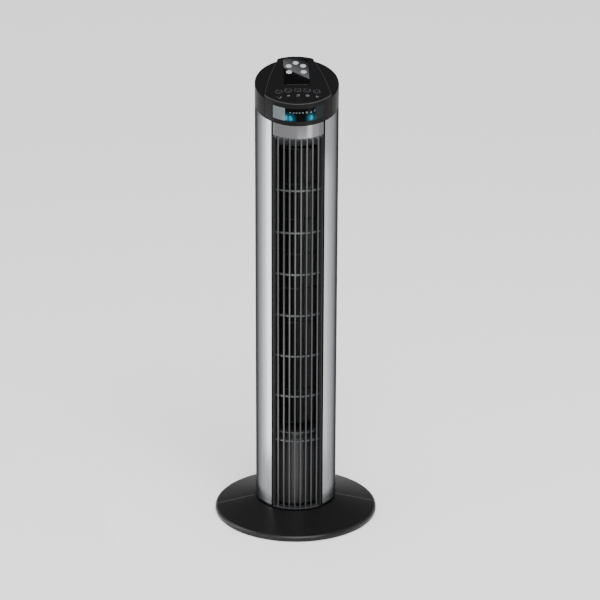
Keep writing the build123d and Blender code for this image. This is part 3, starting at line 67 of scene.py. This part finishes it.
# %% [markdown]
# ## Sizes that the details sit on
# The head of the fan is cut by two sloping planes. The lower one is the seam between head and column, the
# upper one is the face of the control panel. Printed marks lie on the upper plane or on the column's
# cylinder, so both are written down once, in metres.

# %% The column's cylinder and the two sloping planes
COLUMN_R = 0.0732
SEAM_Z, SEAM_SLOPE = 0.7721, math.tan(math.radians(16.66))
TOP_Z, TOP_TILT = 0.8134, math.radians(18.23)
PRINT = 0.00006         # printed marks stand this far off the surface

top_place = Matrix.Translation((0, 0, TOP_Z)) @ Matrix.Rotation(TOP_TILT, 4, "X")


def on_column(angle, rise):
    """A point on the column's skin: angle in degrees from the front, rise in metres above the seam."""
    a = math.radians(angle)
    x, y = math.sin(a) * (COLUMN_R + PRINT), -math.cos(a) * (COLUMN_R + PRINT)
    return Vector((x, y, SEAM_Z + SEAM_SLOPE * (-math.cos(a) * COLUMN_R) + rise))


print("front of the seam:", [round(v, 4) for v in on_column(0, 0)])
print("panel face normal:", [round(v, 3) for v in top_place.to_3x3() @ Vector((0, 0, 1))])

# %% [markdown]
# ## Colours and shader nodes
# Colours are written the way a paint chart or a web page gives them, as hex, and Blender wants linear
# light, so one function turns them. Another adds any shader node with its settings and links, which keeps
# every material below down to a few lines.

# %% Colour and node helpers
def linear(code):
    """A hex colour as linear RGBA."""
    out = []
    for i in (0, 2, 4):
        c = int(code[i:i + 2], 16) / 255
        out.append(c / 12.92 if c <= 0.04045 else ((c + 0.055) / 1.055) ** 2.4)
    return (*out, 1.0)


def add_node(tree, kind, inputs=(), **settings):
    """A new shader node. An input, by name or number, is given a value or the output to link to it."""
    node = tree.nodes.new("ShaderNode" + kind)
    for field, value in settings.items():
        setattr(node, field, value)
    for socket, value in dict(inputs).items():
        if isinstance(value, bpy.types.NodeSocket):
            tree.links.new(value, node.inputs[socket])
        else:
            node.inputs[socket].default_value = value
    return node


def shader_of(mat):
    return mat.node_tree.nodes["Principled BSDF"]


def finish_of(name, colour, roughness, metallic=0.0, ior=1.5, **more):
    """A material with one principled shader; more sets any other of its sockets, with _ for a space."""
    mat = bpy.data.materials.new(name)
    mat.use_nodes = True
    sockets = {"Base_Color": linear(colour), "Roughness": roughness, "Metallic": metallic, "IOR": ior,
               **more}
    for key, value in sockets.items():
        shader_of(mat).inputs[key.replace("_", " ")].default_value = value
    return mat


def object_pattern(mat, size_mm, stretch):
    """Noise on Object coordinates, in patches of one size; a stretch under 1 draws them out that way."""
    tree = mat.node_tree
    place = add_node(tree, "TexCoord")
    turned = add_node(tree, "Mapping", {"Vector": place.outputs["Object"], "Scale": stretch})
    return add_node(tree, "TexNoise", {"Vector": turned.outputs["Vector"], "Scale": 1000 / size_mm,
                                       "Detail": 2.0, "Roughness": 0.55})


def moulded_grain(mat, grain_mm, depth_mm, strength=0.3, stretch=(1, 1, 1)):
    """The fine grain that a mould, a casting or a stack of sheets leaves, as a bump."""
    noise = object_pattern(mat, grain_mm, stretch)
    bump = add_node(mat.node_tree, "Bump", {"Height": noise.outputs["Fac"], "Strength": strength,
                                            "Distance": depth_mm / 1000})
    mat.node_tree.links.new(bump.outputs["Normal"], shader_of(mat).inputs["Normal"])
    return mat


def uneven_gloss(mat, low, high, patch_mm, stretch=(1, 1, 1)):
    """Roughness that wanders between two values, as handling and moulding leave it."""
    noise = object_pattern(mat, patch_mm, stretch)
    spread = add_node(mat.node_tree, "MapRange", {"Value": noise.outputs["Fac"], "To Min": low,
                                                  "To Max": high})
    mat.node_tree.links.new(spread.outputs["Result"], shader_of(mat).inputs["Roughness"])
    return mat


print("hex 808080 in linear light:", round(linear("808080")[0], 3))

# %% [markdown]
# ## Finishes
# The base and the rear shell are black ABS from a lightly grained mould. The head is the same plastic,
# smoother. A mould's own grain is under a tenth of a millimetre, too fine to show, so it is drawn about half
# a millimetre wide. The polished face of the remote has no grain, only a slight unevenness in its gloss.
# Such patches of gloss are a few millimetres wide on small pieces and a few centimetres on large ones.

# %% Black plastics
HEAD_ROUGHNESS = 0.4
grained_abs = finish_of("grained black ABS", "0e0e0f", 0.38, Specular_IOR_Level=0.32)
moulded_grain(grained_abs, 0.6, 0.02)
head_abs = finish_of("fine-grained black ABS", "111112", HEAD_ROUGHNESS, Specular_IOR_Level=0.1)
moulded_grain(head_abs, 0.4, 0.01, 0.2)
inner_abs = moulded_grain(finish_of("matt black ABS inside", "0d0d0d", 0.6), 0.5, 0.02)
cover_abs = uneven_gloss(finish_of("satin black ABS cover", "39393b", 0.3), 0.27, 0.33, 16.6667)
gloss_abs = uneven_gloss(finish_of("polished black ABS", "030304", 0.015), 0.012, 0.018, 6.6667)
button_abs = uneven_gloss(finish_of("satin black ABS button", "161617", 0.22), 0.2, 0.24, 3.3333)
print("black plastics:", grained_abs.name, head_abs.name, inner_abs.name, gloss_abs.name, button_abs.name)

# %% [markdown]
# The side panels carry a silver lacquer with aluminium flake: it is metallic but broad in its shine, so its
# roughness is high for a metal, and it wanders in long upright patches. At a glancing angle the clear coat
# over the flake keeps the edges dark. The grille is sprayed with a plain dark grey lacquer with a slight
# orange peel. The plate over it is steel, brushed across, so its patches are drawn out sideways.

# %% Silver lacquer, grey lacquer and the brushed plate
GRILLE_ROUGHNESS = 0.33
silver_lacquer = finish_of("silver flake lacquer", "8a8b8d", 0.24, metallic=1.0,
                           Specular_Tint=linear("5a5a5a"))
uneven_gloss(silver_lacquer, 0.22, 0.27, 25, (1, 1, 0.05))
grey_lacquer = finish_of("dark grey lacquer on ABS", "343537", GRILLE_ROUGHNESS)
moulded_grain(grey_lacquer, 0.8, 0.006, 0.15)
brushed_plate = finish_of("brushed steel plate", "646466", 0.2, metallic=1.0)
uneven_gloss(brushed_plate, 0.12, 0.22, 1.1111, (1, 1, 12))       # strokes 1.1 mm long and 0.09 mm wide
print("lacquers and plate:", silver_lacquer.name, grey_lacquer.name, brushed_plate.name)

# %% [markdown]
# ## Small pieces and inner parts
# Most of these show only through the slots or when the remote is lifted, but each still has what its own
# making leaves: plating wanders in gloss, castings and rubber have grain, laminations and windings lie in
# thin layers. No ink is pure white, because a thin print lets the black plastic under it through. The lens
# is real acrylic that is smoked nearly black, so it is drawn opaque, with hardly any shine of its own.

# %% Hardware, inner parts, lens and inks
LAYERS = (0.02, 0.02, 1)        # sheets lie flat, so their pattern is long in X and Y
TURNS = (0.1, 0.1, 1)           # and so do the turns of wire
rubber = moulded_grain(finish_of("black rubber", "161616", 0.8, ior=1.52), 0.4, 0.02)
acetal = uneven_gloss(finish_of("natural acetal", "e6e3d8", 0.4, ior=1.48), 0.36, 0.44, 12.5)
zinc = uneven_gloss(finish_of("zinc-plated steel", "b9bbbd", 0.32, metallic=1.0), 0.28, 0.36, 2.5)
laminations = finish_of("varnished lamination steel", "4a4b4d", 0.5, metallic=0.9)
moulded_grain(laminations, 0.5, 0.1, 0.5, LAYERS)
aluminium = moulded_grain(finish_of("die-cast aluminium", "c4c5c7", 0.45, metallic=1.0), 1.0, 0.04)
copper = moulded_grain(finish_of("enamelled copper wire", "a4512a", 0.35, metallic=0.8), 0.4, 0.1, 0.5, TURNS)
bronze = moulded_grain(finish_of("oil-filled bronze", "8a6234", 0.5, metallic=1.0), 0.2, 0.01)
circuit = uneven_gloss(finish_of("green solder resist", "174a28", 0.35), 0.3, 0.4, 5.0)
key_silver = uneven_gloss(finish_of("silver key lacquer", "d3d5d6", 0.35, metallic=0.55), 0.32, 0.38, 3.3333)
smoked = finish_of("smoked acrylic", "020203", 0.12, Specular_IOR_Level=0.04)
teal_print = finish_of("pale teal pad print", "8fa5a8", 0.5)
grey_print = finish_of("grey pad print", "7e8082", 0.5)
dark_print = finish_of("dark grey pad print", "6e7072", 0.5)
print("small finishes:", rubber.name, acetal.name, zinc.name, smoked.name)

# %% [markdown]
# ## Where a finish changes
# A finish often changes within one moulding. A mask is a number that is 1 in one zone of the piece and 0
# outside it, worked out from Object coordinates, and it picks one colour or roughness in place of another.
# A second piece or a second material would need a cut in the mesh; a mask leaves the CAD mesh as it is.
#
# Each side rail of the grille sits in the narrow gap beside a silver panel, where shade falls. That shade is
# painted on them as a near-black colour, and they are given a rough, matt finish.

# %% Masks, and painted shade where the grille meets the silver panels
FAR = 1.0               # a limit beyond every piece, in metres


def object_axes(mat):
    """The X, Y and Z of Object coordinates."""
    place = add_node(mat.node_tree, "TexCoord")
    axes = add_node(mat.node_tree, "SeparateXYZ", {"Vector": place.outputs["Object"]})
    return [axes.outputs[letter] for letter in "XYZ"]


def between(mat, value, low, high):
    """A mask that is 1 where a value lies between two limits."""
    over = add_node(mat.node_tree, "Math", {0: value, 1: low}, operation="GREATER_THAN")
    under = add_node(mat.node_tree, "Math", {0: value, 1: high}, operation="LESS_THAN")
    both = add_node(mat.node_tree, "Math", {0: over.outputs[0], 1: under.outputs[0]}, operation="MULTIPLY")
    return both.outputs[0]


def masked_colour(mat, mask, colour):
    """Puts another colour in place of the base colour where the mask is 1."""
    base = shader_of(mat).inputs["Base Color"]
    plain = base.links[0].from_socket if base.is_linked else tuple(base.default_value)
    # numbers, because a Mix node names its sockets alike for floats, vectors and colours: 6 and 7 are colours
    mix = add_node(mat.node_tree, "Mix", {0: mask, 6: plain, 7: linear(colour)}, data_type="RGBA")
    mat.node_tree.links.new(mix.outputs[2], base)


def masked_roughness(mat, mask, plain, masked):
    """One roughness outside a mask and another inside it."""
    spread = add_node(mat.node_tree, "MapRange", {"Value": mask, "To Min": plain, "To Max": masked})
    mat.node_tree.links.new(spread.outputs["Result"], shader_of(mat).inputs["Roughness"])


RAIL_X = 0.0412         # half the width between the rails
RAIL_ROUGHNESS = 0.95
grille_x = object_axes(grey_lacquer)[0]
sideways = add_node(grey_lacquer.node_tree, "Math", {0: grille_x}, operation="ABSOLUTE").outputs[0]
matt_shaded_rails = between(grey_lacquer, sideways, RAIL_X, FAR)
# painted shade: the side rail zones are drawn near black for the shade in the gap beside the silver panels
masked_colour(grey_lacquer, matt_shaded_rails, "0a0a0a")
masked_roughness(grey_lacquer, matt_shaded_rails, GRILLE_ROUGHNESS, RAIL_ROUGHNESS)
print("grille black beyond x =", RAIL_X)

# %% [markdown]
# The base's halves meet in a seam at y 0, whose sharp moulded edges catch a thin line of light. That light is
# painted into the colour as a lighter line, a little wider than the real one, which would vanish from a few
# metres.

# %% Painted highlight along the base's seam
SEAM_HALF = 0.0008
BASE_TOP_Z = 0.0265     # the seam lies under this
_, base_y, base_z = object_axes(grained_abs)
on_seam = between(grained_abs, base_y, -SEAM_HALF, SEAM_HALF)
on_base = between(grained_abs, base_z, -FAR, BASE_TOP_Z)
seam_highlight = add_node(grained_abs.node_tree, "Math", {0: on_seam, 1: on_base}, operation="MULTIPLY").outputs[0]
# painted highlight: a lighter line along the seam, for the light its edges catch
masked_colour(grained_abs, seam_highlight, "4c4d4e")
print("seam line in mm:", 2000 * SEAM_HALF)

# %% [markdown]
# The grain of the head's mould stops at the rounded edge of the bonnet, so the edge is smoother. Its
# highlight is painted into the colour as a lighter band, and a mask follows the sloping plane: it is 1 in a
# thin layer just under it.

# %% Painted highlight on the rounded edge under the head's top plane
EDGE_FROM, EDGE_TO = 0.00005, 0.0013        # depth under the plane
EDGE_ROUGHNESS = 0.3
_, head_y, head_z = object_axes(head_abs)
plane_z = add_node(head_abs.node_tree, "Math", {0: head_y, 1: math.tan(TOP_TILT), 2: TOP_Z},
                   operation="MULTIPLY_ADD")
depth = add_node(head_abs.node_tree, "Math", {0: plane_z.outputs[0], 1: head_z}, operation="SUBTRACT")
smooth_edge_and_highlight = between(head_abs, depth.outputs[0], EDGE_FROM, EDGE_TO)
# painted highlight: the band along the rounded edge is lighter in colour; the lower roughness is the smoother
# edge
masked_colour(head_abs, smooth_edge_and_highlight, "3e3f40")
masked_roughness(head_abs, smooth_edge_and_highlight, HEAD_ROUGHNESS, EDGE_ROUGHNESS)
print("rounding in mm:", 1000 * EDGE_FROM, "to", 1000 * EDGE_TO, "under the top plane")

# %% [markdown]
# ## Dressing the CAD pieces
# The record names a material slot for each piece, so one table turns slots into finishes. A few pieces of
# the same black plastics come from a more polished mould, and they are listed apart.

# %% Every CAD piece takes the finish of its material slot
slot_finish = {
    "satin_black_plastic": grained_abs, "gloss_black_plastic": head_abs, "silver_paint": silver_lacquer,
    "grille_plastic": grey_lacquer, "inner_black_plastic": inner_abs, "brushed_plate": brushed_plate,
    "smoked_window": smoked, "black_rubber": rubber, "natural_acetal": acetal, "zinc_steel": zinc,
    "lamination_steel": laminations, "cast_aluminium": aluminium, "winding_copper": copper,
    "sintered_bronze": bronze, "circuit_board": circuit, "silver_key": key_silver,
}
special = {"remote_face": gloss_abs, "motor_cover": cover_abs}
special.update({f"button_{b}": button_abs for b in ("swing", "ion", "power", "timer", "speed")})
for part in record["subparts"]:
    piece = frame["nodes"][part["node"]]
    piece.data.materials.clear()
    piece.data.materials.append(special.get(part["node"], slot_finish[part["material_slot"]]))
print("finished", len(record["subparts"]), "CAD pieces with", len(slot_finish), "finishes")

# %% [markdown]
# ## Printed marks
# The icons are pad-printed, so they have no thickness to speak of. Each is a flat mesh a few hundredths
# of a millimetre off its surface. A piece is made flat in its own small drawing first, in millimetres, and is
# then laid on the sloping face with a matrix, or wrapped on the column point by point.

# %% Selecting and finishing a piece
def clear_selection():
    bpy.ops.object.select_all(action="DESELECT")


def lone(obj):
    """Makes one object the only selected and active one."""
    clear_selection()
    obj.select_set(True)
    bpy.context.view_layer.objects.active = obj


def settle(obj, mat, body, name):
    """Names a finished piece, gives it its finish, puts its place in its mesh and lets it ride."""
    obj.name = obj.data.name = name
    lone(obj)
    bpy.ops.object.transform_apply(location=True, rotation=True, scale=True)
    obj.data.materials.clear()
    obj.data.materials.append(mat)
    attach(obj, body)


# %% Bars and arcs
ARC_STEP = 12           # degrees that one facet of an arc may turn


def bar(x, y, w, h, turn=0.0):
    """A flat bar, in millimetres, centred on x, y."""
    bpy.ops.mesh.primitive_plane_add(size=1, location=(x, y, 0), rotation=(0, 0, math.radians(turn)))
    obj = bpy.context.object
    obj.scale = (w, h, 1)
    return obj


def arc_band(x, y, r, w, start, end):
    """A flat arc of width w, in millimetres, from one angle to another: an edge spun round x, y."""
    bpy.ops.mesh.primitive_plane_add(size=1, location=(0, 0, 0))
    obj = bpy.context.object
    lone(obj)
    a = math.radians(start)
    bpy.ops.object.mode_set(mode="EDIT")
    mesh = bmesh.from_edit_mesh(obj.data)
    bmesh.ops.delete(mesh, geom=[v for v in mesh.verts if v.co.y > 0], context="VERTS")
    for v in mesh.verts:
        d = r + w * v.co.x
        v.co = Vector((x + math.cos(a) * d, y + math.sin(a) * d, 0))
        v.select = True
    for e in mesh.edges:
        e.select = True
    bmesh.update_edit_mesh(obj.data)
    steps = max(4, int(abs(end - start) / ARC_STEP))
    bpy.ops.mesh.spin(steps=steps, angle=math.radians(end - start), center=(x, y, 0), axis=(0, 0, 1))
    bpy.ops.mesh.select_all(action="SELECT")
    bpy.ops.mesh.remove_doubles(threshold=0.001)
    bpy.ops.mesh.normals_make_consistent(inside=False)
    bpy.ops.object.mode_set(mode="OBJECT")
    return obj


def joined(parts):
    """Several flat marks as one mesh that lies on z 0 and faces up."""
    clear_selection()
    for p in parts:
        p.select_set(True)
    bpy.context.view_layer.objects.active = parts[0]
    bpy.ops.object.transform_apply(location=True, rotation=True, scale=True)
    if len(parts) > 1:
        bpy.ops.object.join()
    obj = bpy.context.object
    for v in obj.data.vertices:
        v.co.z = 0
    mesh = bmesh.new()
    mesh.from_mesh(obj.data)
    for f in mesh.faces:
        if f.normal.z < 0:
            f.normal_flip()
    mesh.to_mesh(obj.data)
    mesh.free()
    return obj


print("an arc turns", ARC_STEP, "degrees at each facet")

# %% Laying a drawing on the fan
def onto_top(obj, u, v, size=1.0):
    """Lays a drawing on the panel's face, its origin u to the right and v up the slope, in metres."""
    obj.data.transform(top_place @ Matrix.Translation((u, v, PRINT)) @ Matrix.Scale(0.001 * size, 4))


def onto_column(obj, angle, rise):
    """Wraps a drawing on the column, its origin at an angle from the front and a rise above the seam."""
    for vert in obj.data.vertices:
        x, y = vert.co.x / 1000, vert.co.y / 1000
        vert.co = on_column(angle + math.degrees(x / COLUMN_R), rise + y)


print("marks stand", round(1000 * PRINT, 3), "mm off their surface")

# %% [markdown]
# ## Icons of the five panel buttons
# Each button has a thin printed ring round it and a plain icon below it: a sweep arrow for swing, three
# leaning lines for fresh air, a power ring, a clock and a three-blade rotor. An icon is a few bars and arcs,
# and the line is as thick as a pad print of that size can hold.

# %% The five icons
LINE = 0.35             # the icons' line, in the drawing's millimetres


def swing_icon():
    return joined([arc_band(0, -0.4, 1.9, LINE, 20, 160), bar(-1.95, 0.2, 1.1, LINE, 50),
                   bar(1.95, 0.2, 1.1, LINE, -50)])


def fresh_icon():
    return joined([bar(-0.9, 0, LINE, 2.4, -20), bar(0, 0.2, LINE, 2.8, -20), bar(0.9, 0, LINE, 2.4, -20)])


def power_icon():
    return joined([arc_band(0, 0, 1.5, LINE, 125, 415), bar(0, 1.3, LINE, 1.7)])


def clock_icon():
    return joined([arc_band(0, 0, 1.6, 0.32, 0, 359), bar(0, 0.5, 0.3, 1.1), bar(0.4, 0, 0.9, 0.3)])


def rotor_icon():
    blades = []
    for middle in (90, 210, 330):
        x, y = 0.8 * math.cos(math.radians(middle)), 0.8 * math.sin(math.radians(middle))
        blades.append(arc_band(x, y, 0.8, LINE, middle - 180, middle - 20))
    return joined(blades)


print("icons drawn with a line of", LINE, "mm")

# %% Icons and rings at their buttons
BUTTONS = (("swing", swing_icon), ("ion", fresh_icon), ("power", power_icon), ("timer", clock_icon),
           ("speed", rotor_icon))
ICON_DROP = 0.0165      # an icon's centre lies this far down the slope from its button's
ICON_SIZE = 1.7         # the drawings are laid down enlarged by this
RING_R, RING_LINE = 5.75, 0.28      # millimetres
for name, draw in BUTTONS:
    low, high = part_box(f"button_{name}")
    middle = top_place.inverted() @ ((Vector(low) + Vector(high)) / 2)
    icon = draw()
    onto_top(icon, middle.x, middle.y - ICON_DROP, ICON_SIZE)
    settle(icon, grey_print, "column", f"icon_{name}")
    ring = joined([arc_band(0, 0, RING_R, RING_LINE, 0, 359)])
    onto_top(ring, middle.x, middle.y)
    settle(ring, dark_print, "column", f"ring_{name}")
print("icons:", [n for n, _ in BUTTONS])

# %% [markdown]
# ## Display
# On the real fan light-blue digits shine through the smoked lens, under a row of small pale marks for the
# hours and modes. The lens is drawn opaque here, so the digits are wrapped on its front, made of seven
# straight bars. A digit is an emission colour on its own bars, and the light that smoked plastic scatters
# round it is a second, fading emission in the lens.

# %% Lit digits
DIGIT_RISE = 0.0135     # the digits' centres over the seam
SEGMENTS = {"top": (0, 3, 2.4, 0.7), "mid": (0, 0, 2.4, 0.7), "low": (0, -3, 2.4, 0.7),
            "tl": (-1.6, 1.5, 0.7, 2.4), "tr": (1.6, 1.5, 0.7, 2.4),
            "bl": (-1.6, -1.5, 0.7, 2.4), "br": (1.6, -1.5, 0.7, 2.4)}      # x, y, width, height in mm
DIGITS = {"two": ("top", "tr", "mid", "bl", "low"), "three": ("top", "tr", "mid", "br", "low"),
          "five": ("top", "tl", "mid", "br", "low")}
lit_cyan = finish_of("lit cyan segment", "1a5a6b", 0.4, Emission_Color=linear("4fd6ee"),
                     Emission_Strength=0.8)
for digit, angle in (("two", -17.4), ("five", -10.8), ("three", 17.2)):
    lit = joined([bar(*SEGMENTS[s]) for s in DIGITS[digit]])
    onto_column(lit, angle, DIGIT_RISE)
    settle(lit, lit_cyan, "column", f"digit_{digit}")
print("digits:", list(DIGITS))

# %% Glow of the digits in the smoked lens
GLOW_ANGLES = (-16.0, -11.2, 17.2)      # degrees from the front
GLOW_RISE, GLOW_REACH = 0.0125, 0.0125  # over the seam, and from a glow's middle to its end


def glow_spots(mat, spots, reach, strength):
    """Emission that fades with the square of the way left to its end, from each spot."""
    tree = mat.node_tree
    place = add_node(tree, "TexCoord")
    total = 0.0
    for spot in spots:
        gap = add_node(tree, "VectorMath", {0: place.outputs["Object"], 1: spot}, operation="DISTANCE")
        fall = add_node(tree, "MapRange", {"Value": gap.outputs["Value"], "From Max": reach,
                                           "To Min": strength, "To Max": 0.0}).outputs["Result"]
        spread = add_node(tree, "Math", {0: fall, 1: fall}, operation="MULTIPLY")
        total = add_node(tree, "Math", {0: spread.outputs[0], 1: total}, operation="MAXIMUM").outputs[0]
    shader_of(mat).inputs["Emission Color"].default_value = linear("1f9dbd")
    tree.links.new(total, shader_of(mat).inputs["Emission Strength"])


glow_spots(smoked, [on_column(a, GLOW_RISE) for a in GLOW_ANGLES], GLOW_REACH, 1.0)
print("glows at", GLOW_ANGLES, "degrees")

# %% [markdown]
# The lens is drawn a light grey at its left end and a dark grey at its right end. The
# panes are masks on its colour, because nothing in its shape changes there.

# %% The lighter panes at the lens's two ends
LEFT_PANE_X, RIGHT_PANE_X = -0.0232, 0.0290
lens_x = object_axes(smoked)[0]
masked_colour(smoked, between(smoked, lens_x, -FAR, LEFT_PANE_X), "666e70")
masked_colour(smoked, between(smoked, lens_x, RIGHT_PANE_X, FAR), "202628")
print("lighter panes left of", 1000 * LEFT_PANE_X, "mm and right of", 1000 * RIGHT_PANE_X, "mm")

# %% [markdown]
# The row over the digits is printed in a pale ink. The real figures are tiny, so plain ones stand in: a
# dash, four figures of two uprights and a short stroke, and three round marks. They are bars and arcs
# again, joined and wrapped in one go.

# %% Row of hour and mode marks
MARK_RISE = 0.0232      # over the seam
marks = [bar(-14.5, 0, 2.2, 0.8)]
for x in (-9.0, -3.6, 1.8, 7.2):
    marks += [bar(x - 0.7, 0, 0.45, 1.8), bar(x + 0.7, 0, 0.45, 1.8), bar(x + 0.7, 0, 1.2, 0.4)]
for x, y, start, end in ((14.0, 0.2, 0, 359), (21.5, 0.4, 60, 300), (28.5, 1.2, -60, 180)):
    marks.append(arc_band(x, y, 1.3, 0.45, start, end))
mark_row = joined(marks)
onto_column(mark_row, 0, MARK_RISE)
settle(mark_row, teal_print, "column", "display_marks")
print("marks:", len(mark_row.data.vertices), "points")

# %% [markdown]
# ## Studio
# A pale paper floor carries the fan. The room itself is brightest at its horizon and dim overhead, which
# leaves the black pieces black.

# %% Floor
clear_selection()
bpy.ops.mesh.primitive_plane_add(size=24, location=(0, 4, 0))
floor = bpy.context.object
floor.name = "studio_floor"
floor.data.materials.append(finish_of("pale studio paper", "f8f8f8", 0.9))
floor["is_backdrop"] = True
print("floor:", [round(v, 1) for v in floor.dimensions], "m")

# %% Room light
HORIZON_LIGHT, OVERHEAD_LIGHT = 0.55, 0.06
world = bpy.data.worlds.new("studio room")
bpy.context.scene.world = world
world.use_nodes = True
sky = world.node_tree
direction = add_node(sky, "TexCoord")
axes = add_node(sky, "SeparateXYZ", {"Vector": direction.outputs["Generated"]})
fade = add_node(sky, "MapRange", {"Value": axes.outputs["Z"], "From Min": 0.1, "From Max": 0.5,
                                  "To Min": HORIZON_LIGHT, "To Max": OVERHEAD_LIGHT})
background = sky.nodes["Background"]
background.inputs["Color"].default_value = linear("ffffff")
sky.links.new(fade.outputs["Result"], background.inputs["Strength"])
print("room light from", HORIZON_LIGHT, "at the horizon to", OVERHEAD_LIGHT, "overhead")

# %% [markdown]
# A softbox over the front lights the fan. The floor is lit by a sun spread over a wide patch of sky, so it
# looks the same near and far, where an area lamp would fall off. Shiny surfaces mirror what stands round
# them, so cards close to the fan are there only for that: tall ones at both sides for the silver panels,
# two narrow ones for the brushed plate, and small ones that walk down the front for the edges of the fins.

# %% Softbox over the front, and the even light
def softbox(name, azimuth, distance, height, width, tall, power, aim, lights=True):
    """A rectangular area light at an azimuth from the front, aimed at a height on the axis."""
    a = math.radians(azimuth)
    spot = Vector((math.sin(a) * distance, -math.cos(a) * distance, height))
    data = bpy.data.lights.new(name, "AREA")
    data.shape = "RECTANGLE"
    data.size, data.size_y, data.energy = width, tall, power
    lamp = bpy.data.objects.new(name, data)
    bpy.context.collection.objects.link(lamp)
    lamp.location = spot
    lamp.visible_camera = False
    lamp.visible_diffuse = lights
    lamp.rotation_mode = "QUATERNION"
    lamp.rotation_quaternion = (Vector((0, 0, aim)) - spot).to_track_quat("-Z", "Y")


EVEN_LIGHT, EVEN_SPREAD = 4.3, math.radians(100)
softbox("front_top_softbox", azimuth=12, distance=2.2, height=3.4, width=2.4, tall=1.6, power=120, aim=0.45)
floor_light = bpy.data.objects.new("floor_light", bpy.data.lights.new("floor_light", "SUN"))
bpy.context.collection.objects.link(floor_light)
floor_light.data.energy = EVEN_LIGHT
floor_light.data.angle = EVEN_SPREAD
floor_light.visible_glossy = False
print("even light from", round(math.degrees(EVEN_SPREAD)), "degrees of sky")

# %% Cards beside the fan
CARD_REACH = 0.35                                                       # from the axis
SIDE_CARDS = ((-76, 0.70, 6.0), (-93, 0.70, 1.6), (-112, 0.70, 0.15),
              (76, 0.60, 1.6), (93, 0.60, 0.55), (112, 0.60, 0.1))      # azimuth, height, radiance
SIDE_W = 2 * CARD_REACH * math.tan(math.radians(9.5))
BADGE_CARDS = ((30, 0.075, 4.2), (46, 0.10, 0.9))                       # azimuth, width, radiance
BADGE_CARD_Z, BADGE_CARD_TALL = 0.665, 0.11
FRONT_CARDS = ((12, 0.58), (0, 0.46), (-14, 0.35), (-28, 0.21), (-38, 0.08))    # azimuth, height
FRONT_W, FRONT_TALL, FRONT_RADIANCE = 0.15, 0.14, 3.2


def mirrored_card(name, azimuth, height, width, tall, radiance):
    """A card that stands close to the fan, seen only in its shiny surfaces."""
    power = radiance * math.pi * width * tall
    softbox(name, azimuth, CARD_REACH, height, width, tall, power, aim=height, lights=False)


for azimuth, tall, radiance in SIDE_CARDS:
    mirrored_card(f"card_{azimuth}", azimuth, tall / 2, SIDE_W, tall, radiance)
for azimuth, width, radiance in BADGE_CARDS:
    mirrored_card(f"badge_card_{azimuth}", azimuth, BADGE_CARD_Z, width, BADGE_CARD_TALL, radiance)
for azimuth, height in FRONT_CARDS:
    mirrored_card(f"front_card_{azimuth}", azimuth, height, FRONT_W, FRONT_TALL, FRONT_RADIANCE)
print("cards:", len(SIDE_CARDS) + len(BADGE_CARDS) + len(FRONT_CARDS))

# %% [markdown]
# The remote's polished face mirrors a patch of the room behind the fan. A small fading card there draws the
# slanting band of light that such a face always shows, and nothing else notices it.

# %% Fading card over the back
clear_selection()
CARD_LOW = (Vector((0.074, 1.625, 2.749)), Vector((0.145, 1.586, 2.745)))       # two points of its edge
CARD_W, CARD_TALL, CARD_GLOW = 0.5, 0.045, 2.0
REMOTE_FACE = Vector((0, 0.02, 0.82))
along = (CARD_LOW[1] - CARD_LOW[0]).normalized()
facing = (REMOTE_FACE - CARD_LOW[0]).normalized()
across = facing.cross(along).normalized()
side = 1 if across.y > 0 else -1
card_middle = (CARD_LOW[0] + CARD_LOW[1]) / 2 + across * (side * CARD_TALL / 2)
bpy.ops.mesh.primitive_plane_add(size=1)
card = bpy.context.object
card.name = "studio_card"
card_turn = Matrix((along, across, facing)).transposed().to_4x4()
card.matrix_world = Matrix.Translation(card_middle) @ card_turn @ Matrix.Diagonal((CARD_W, CARD_TALL, 1, 1))
fading = bpy.data.materials.new("fading card")
fading.use_nodes = True
tree = fading.node_tree
tree.nodes.remove(shader_of(fading))
ramp = add_node(tree, "MapRange", {"Value": object_axes(fading)[1], "From Min": -0.5 * side,
                                   "From Max": 0.5 * side, "To Min": CARD_GLOW, "To Max": 0.0})
glow = add_node(tree, "Emission", {"Color": linear("f4f8ff"), "Strength": ramp.outputs["Result"]})
tree.links.new(glow.outputs["Emission"], tree.nodes["Material Output"].inputs["Surface"])
card.data.materials.append(fading)
card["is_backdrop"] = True
print("card at", [round(v, 3) for v in card_middle])

# %% [markdown]
# ## Camera
# A long lens from four metres away keeps the column's sides nearly parallel. The camera stands a little to
# the left of the front, looks down by about 20 degrees, and aims just beside the fan's middle.

# %% Camera
AZIMUTH, ELEVATION, ROLL = math.radians(-2.5), math.radians(19.8), math.radians(0.198)
DISTANCE, TARGET = 3.9349, Vector((0, 0, 0.4158))
AIM_SHIFT = Vector((0.0067, -0.0074, 0))        # to the camera's right and up, in metres at the fan
back = Vector((math.sin(AZIMUTH) * math.cos(ELEVATION), -math.cos(AZIMUTH) * math.cos(ELEVATION),
               math.sin(ELEVATION)))
camera = bpy.data.objects.new("camera", bpy.data.cameras.new("camera"))
bpy.context.collection.objects.link(camera)
camera.location = TARGET + back * DISTANCE
level = (-back).to_track_quat("-Z", "Y").to_matrix()
look = (TARGET + level @ AIM_SHIFT - camera.location).to_track_quat("-Z", "Y").to_matrix()
camera.rotation_mode = "QUATERNION"
camera.rotation_quaternion = (look @ Matrix.Rotation(ROLL, 3, "Z")).to_quaternion()
camera.data.sensor_width = 36                   # millimetres, as the lens is
camera.data.lens = 131.75
camera.data.clip_end = 60
bpy.context.scene.camera = camera
print("camera at", [round(v, 3) for v in camera.location])

# %% [markdown]
# ## Sizes and the end
# The box of the finished fan is measured and printed, so that any detail that
# grew the fan by mistake can be seen.

# %% Sizes and the end
low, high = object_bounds()
print("visual box in mm:", [round(v * 1000, 1) for v in (*low, *high)])
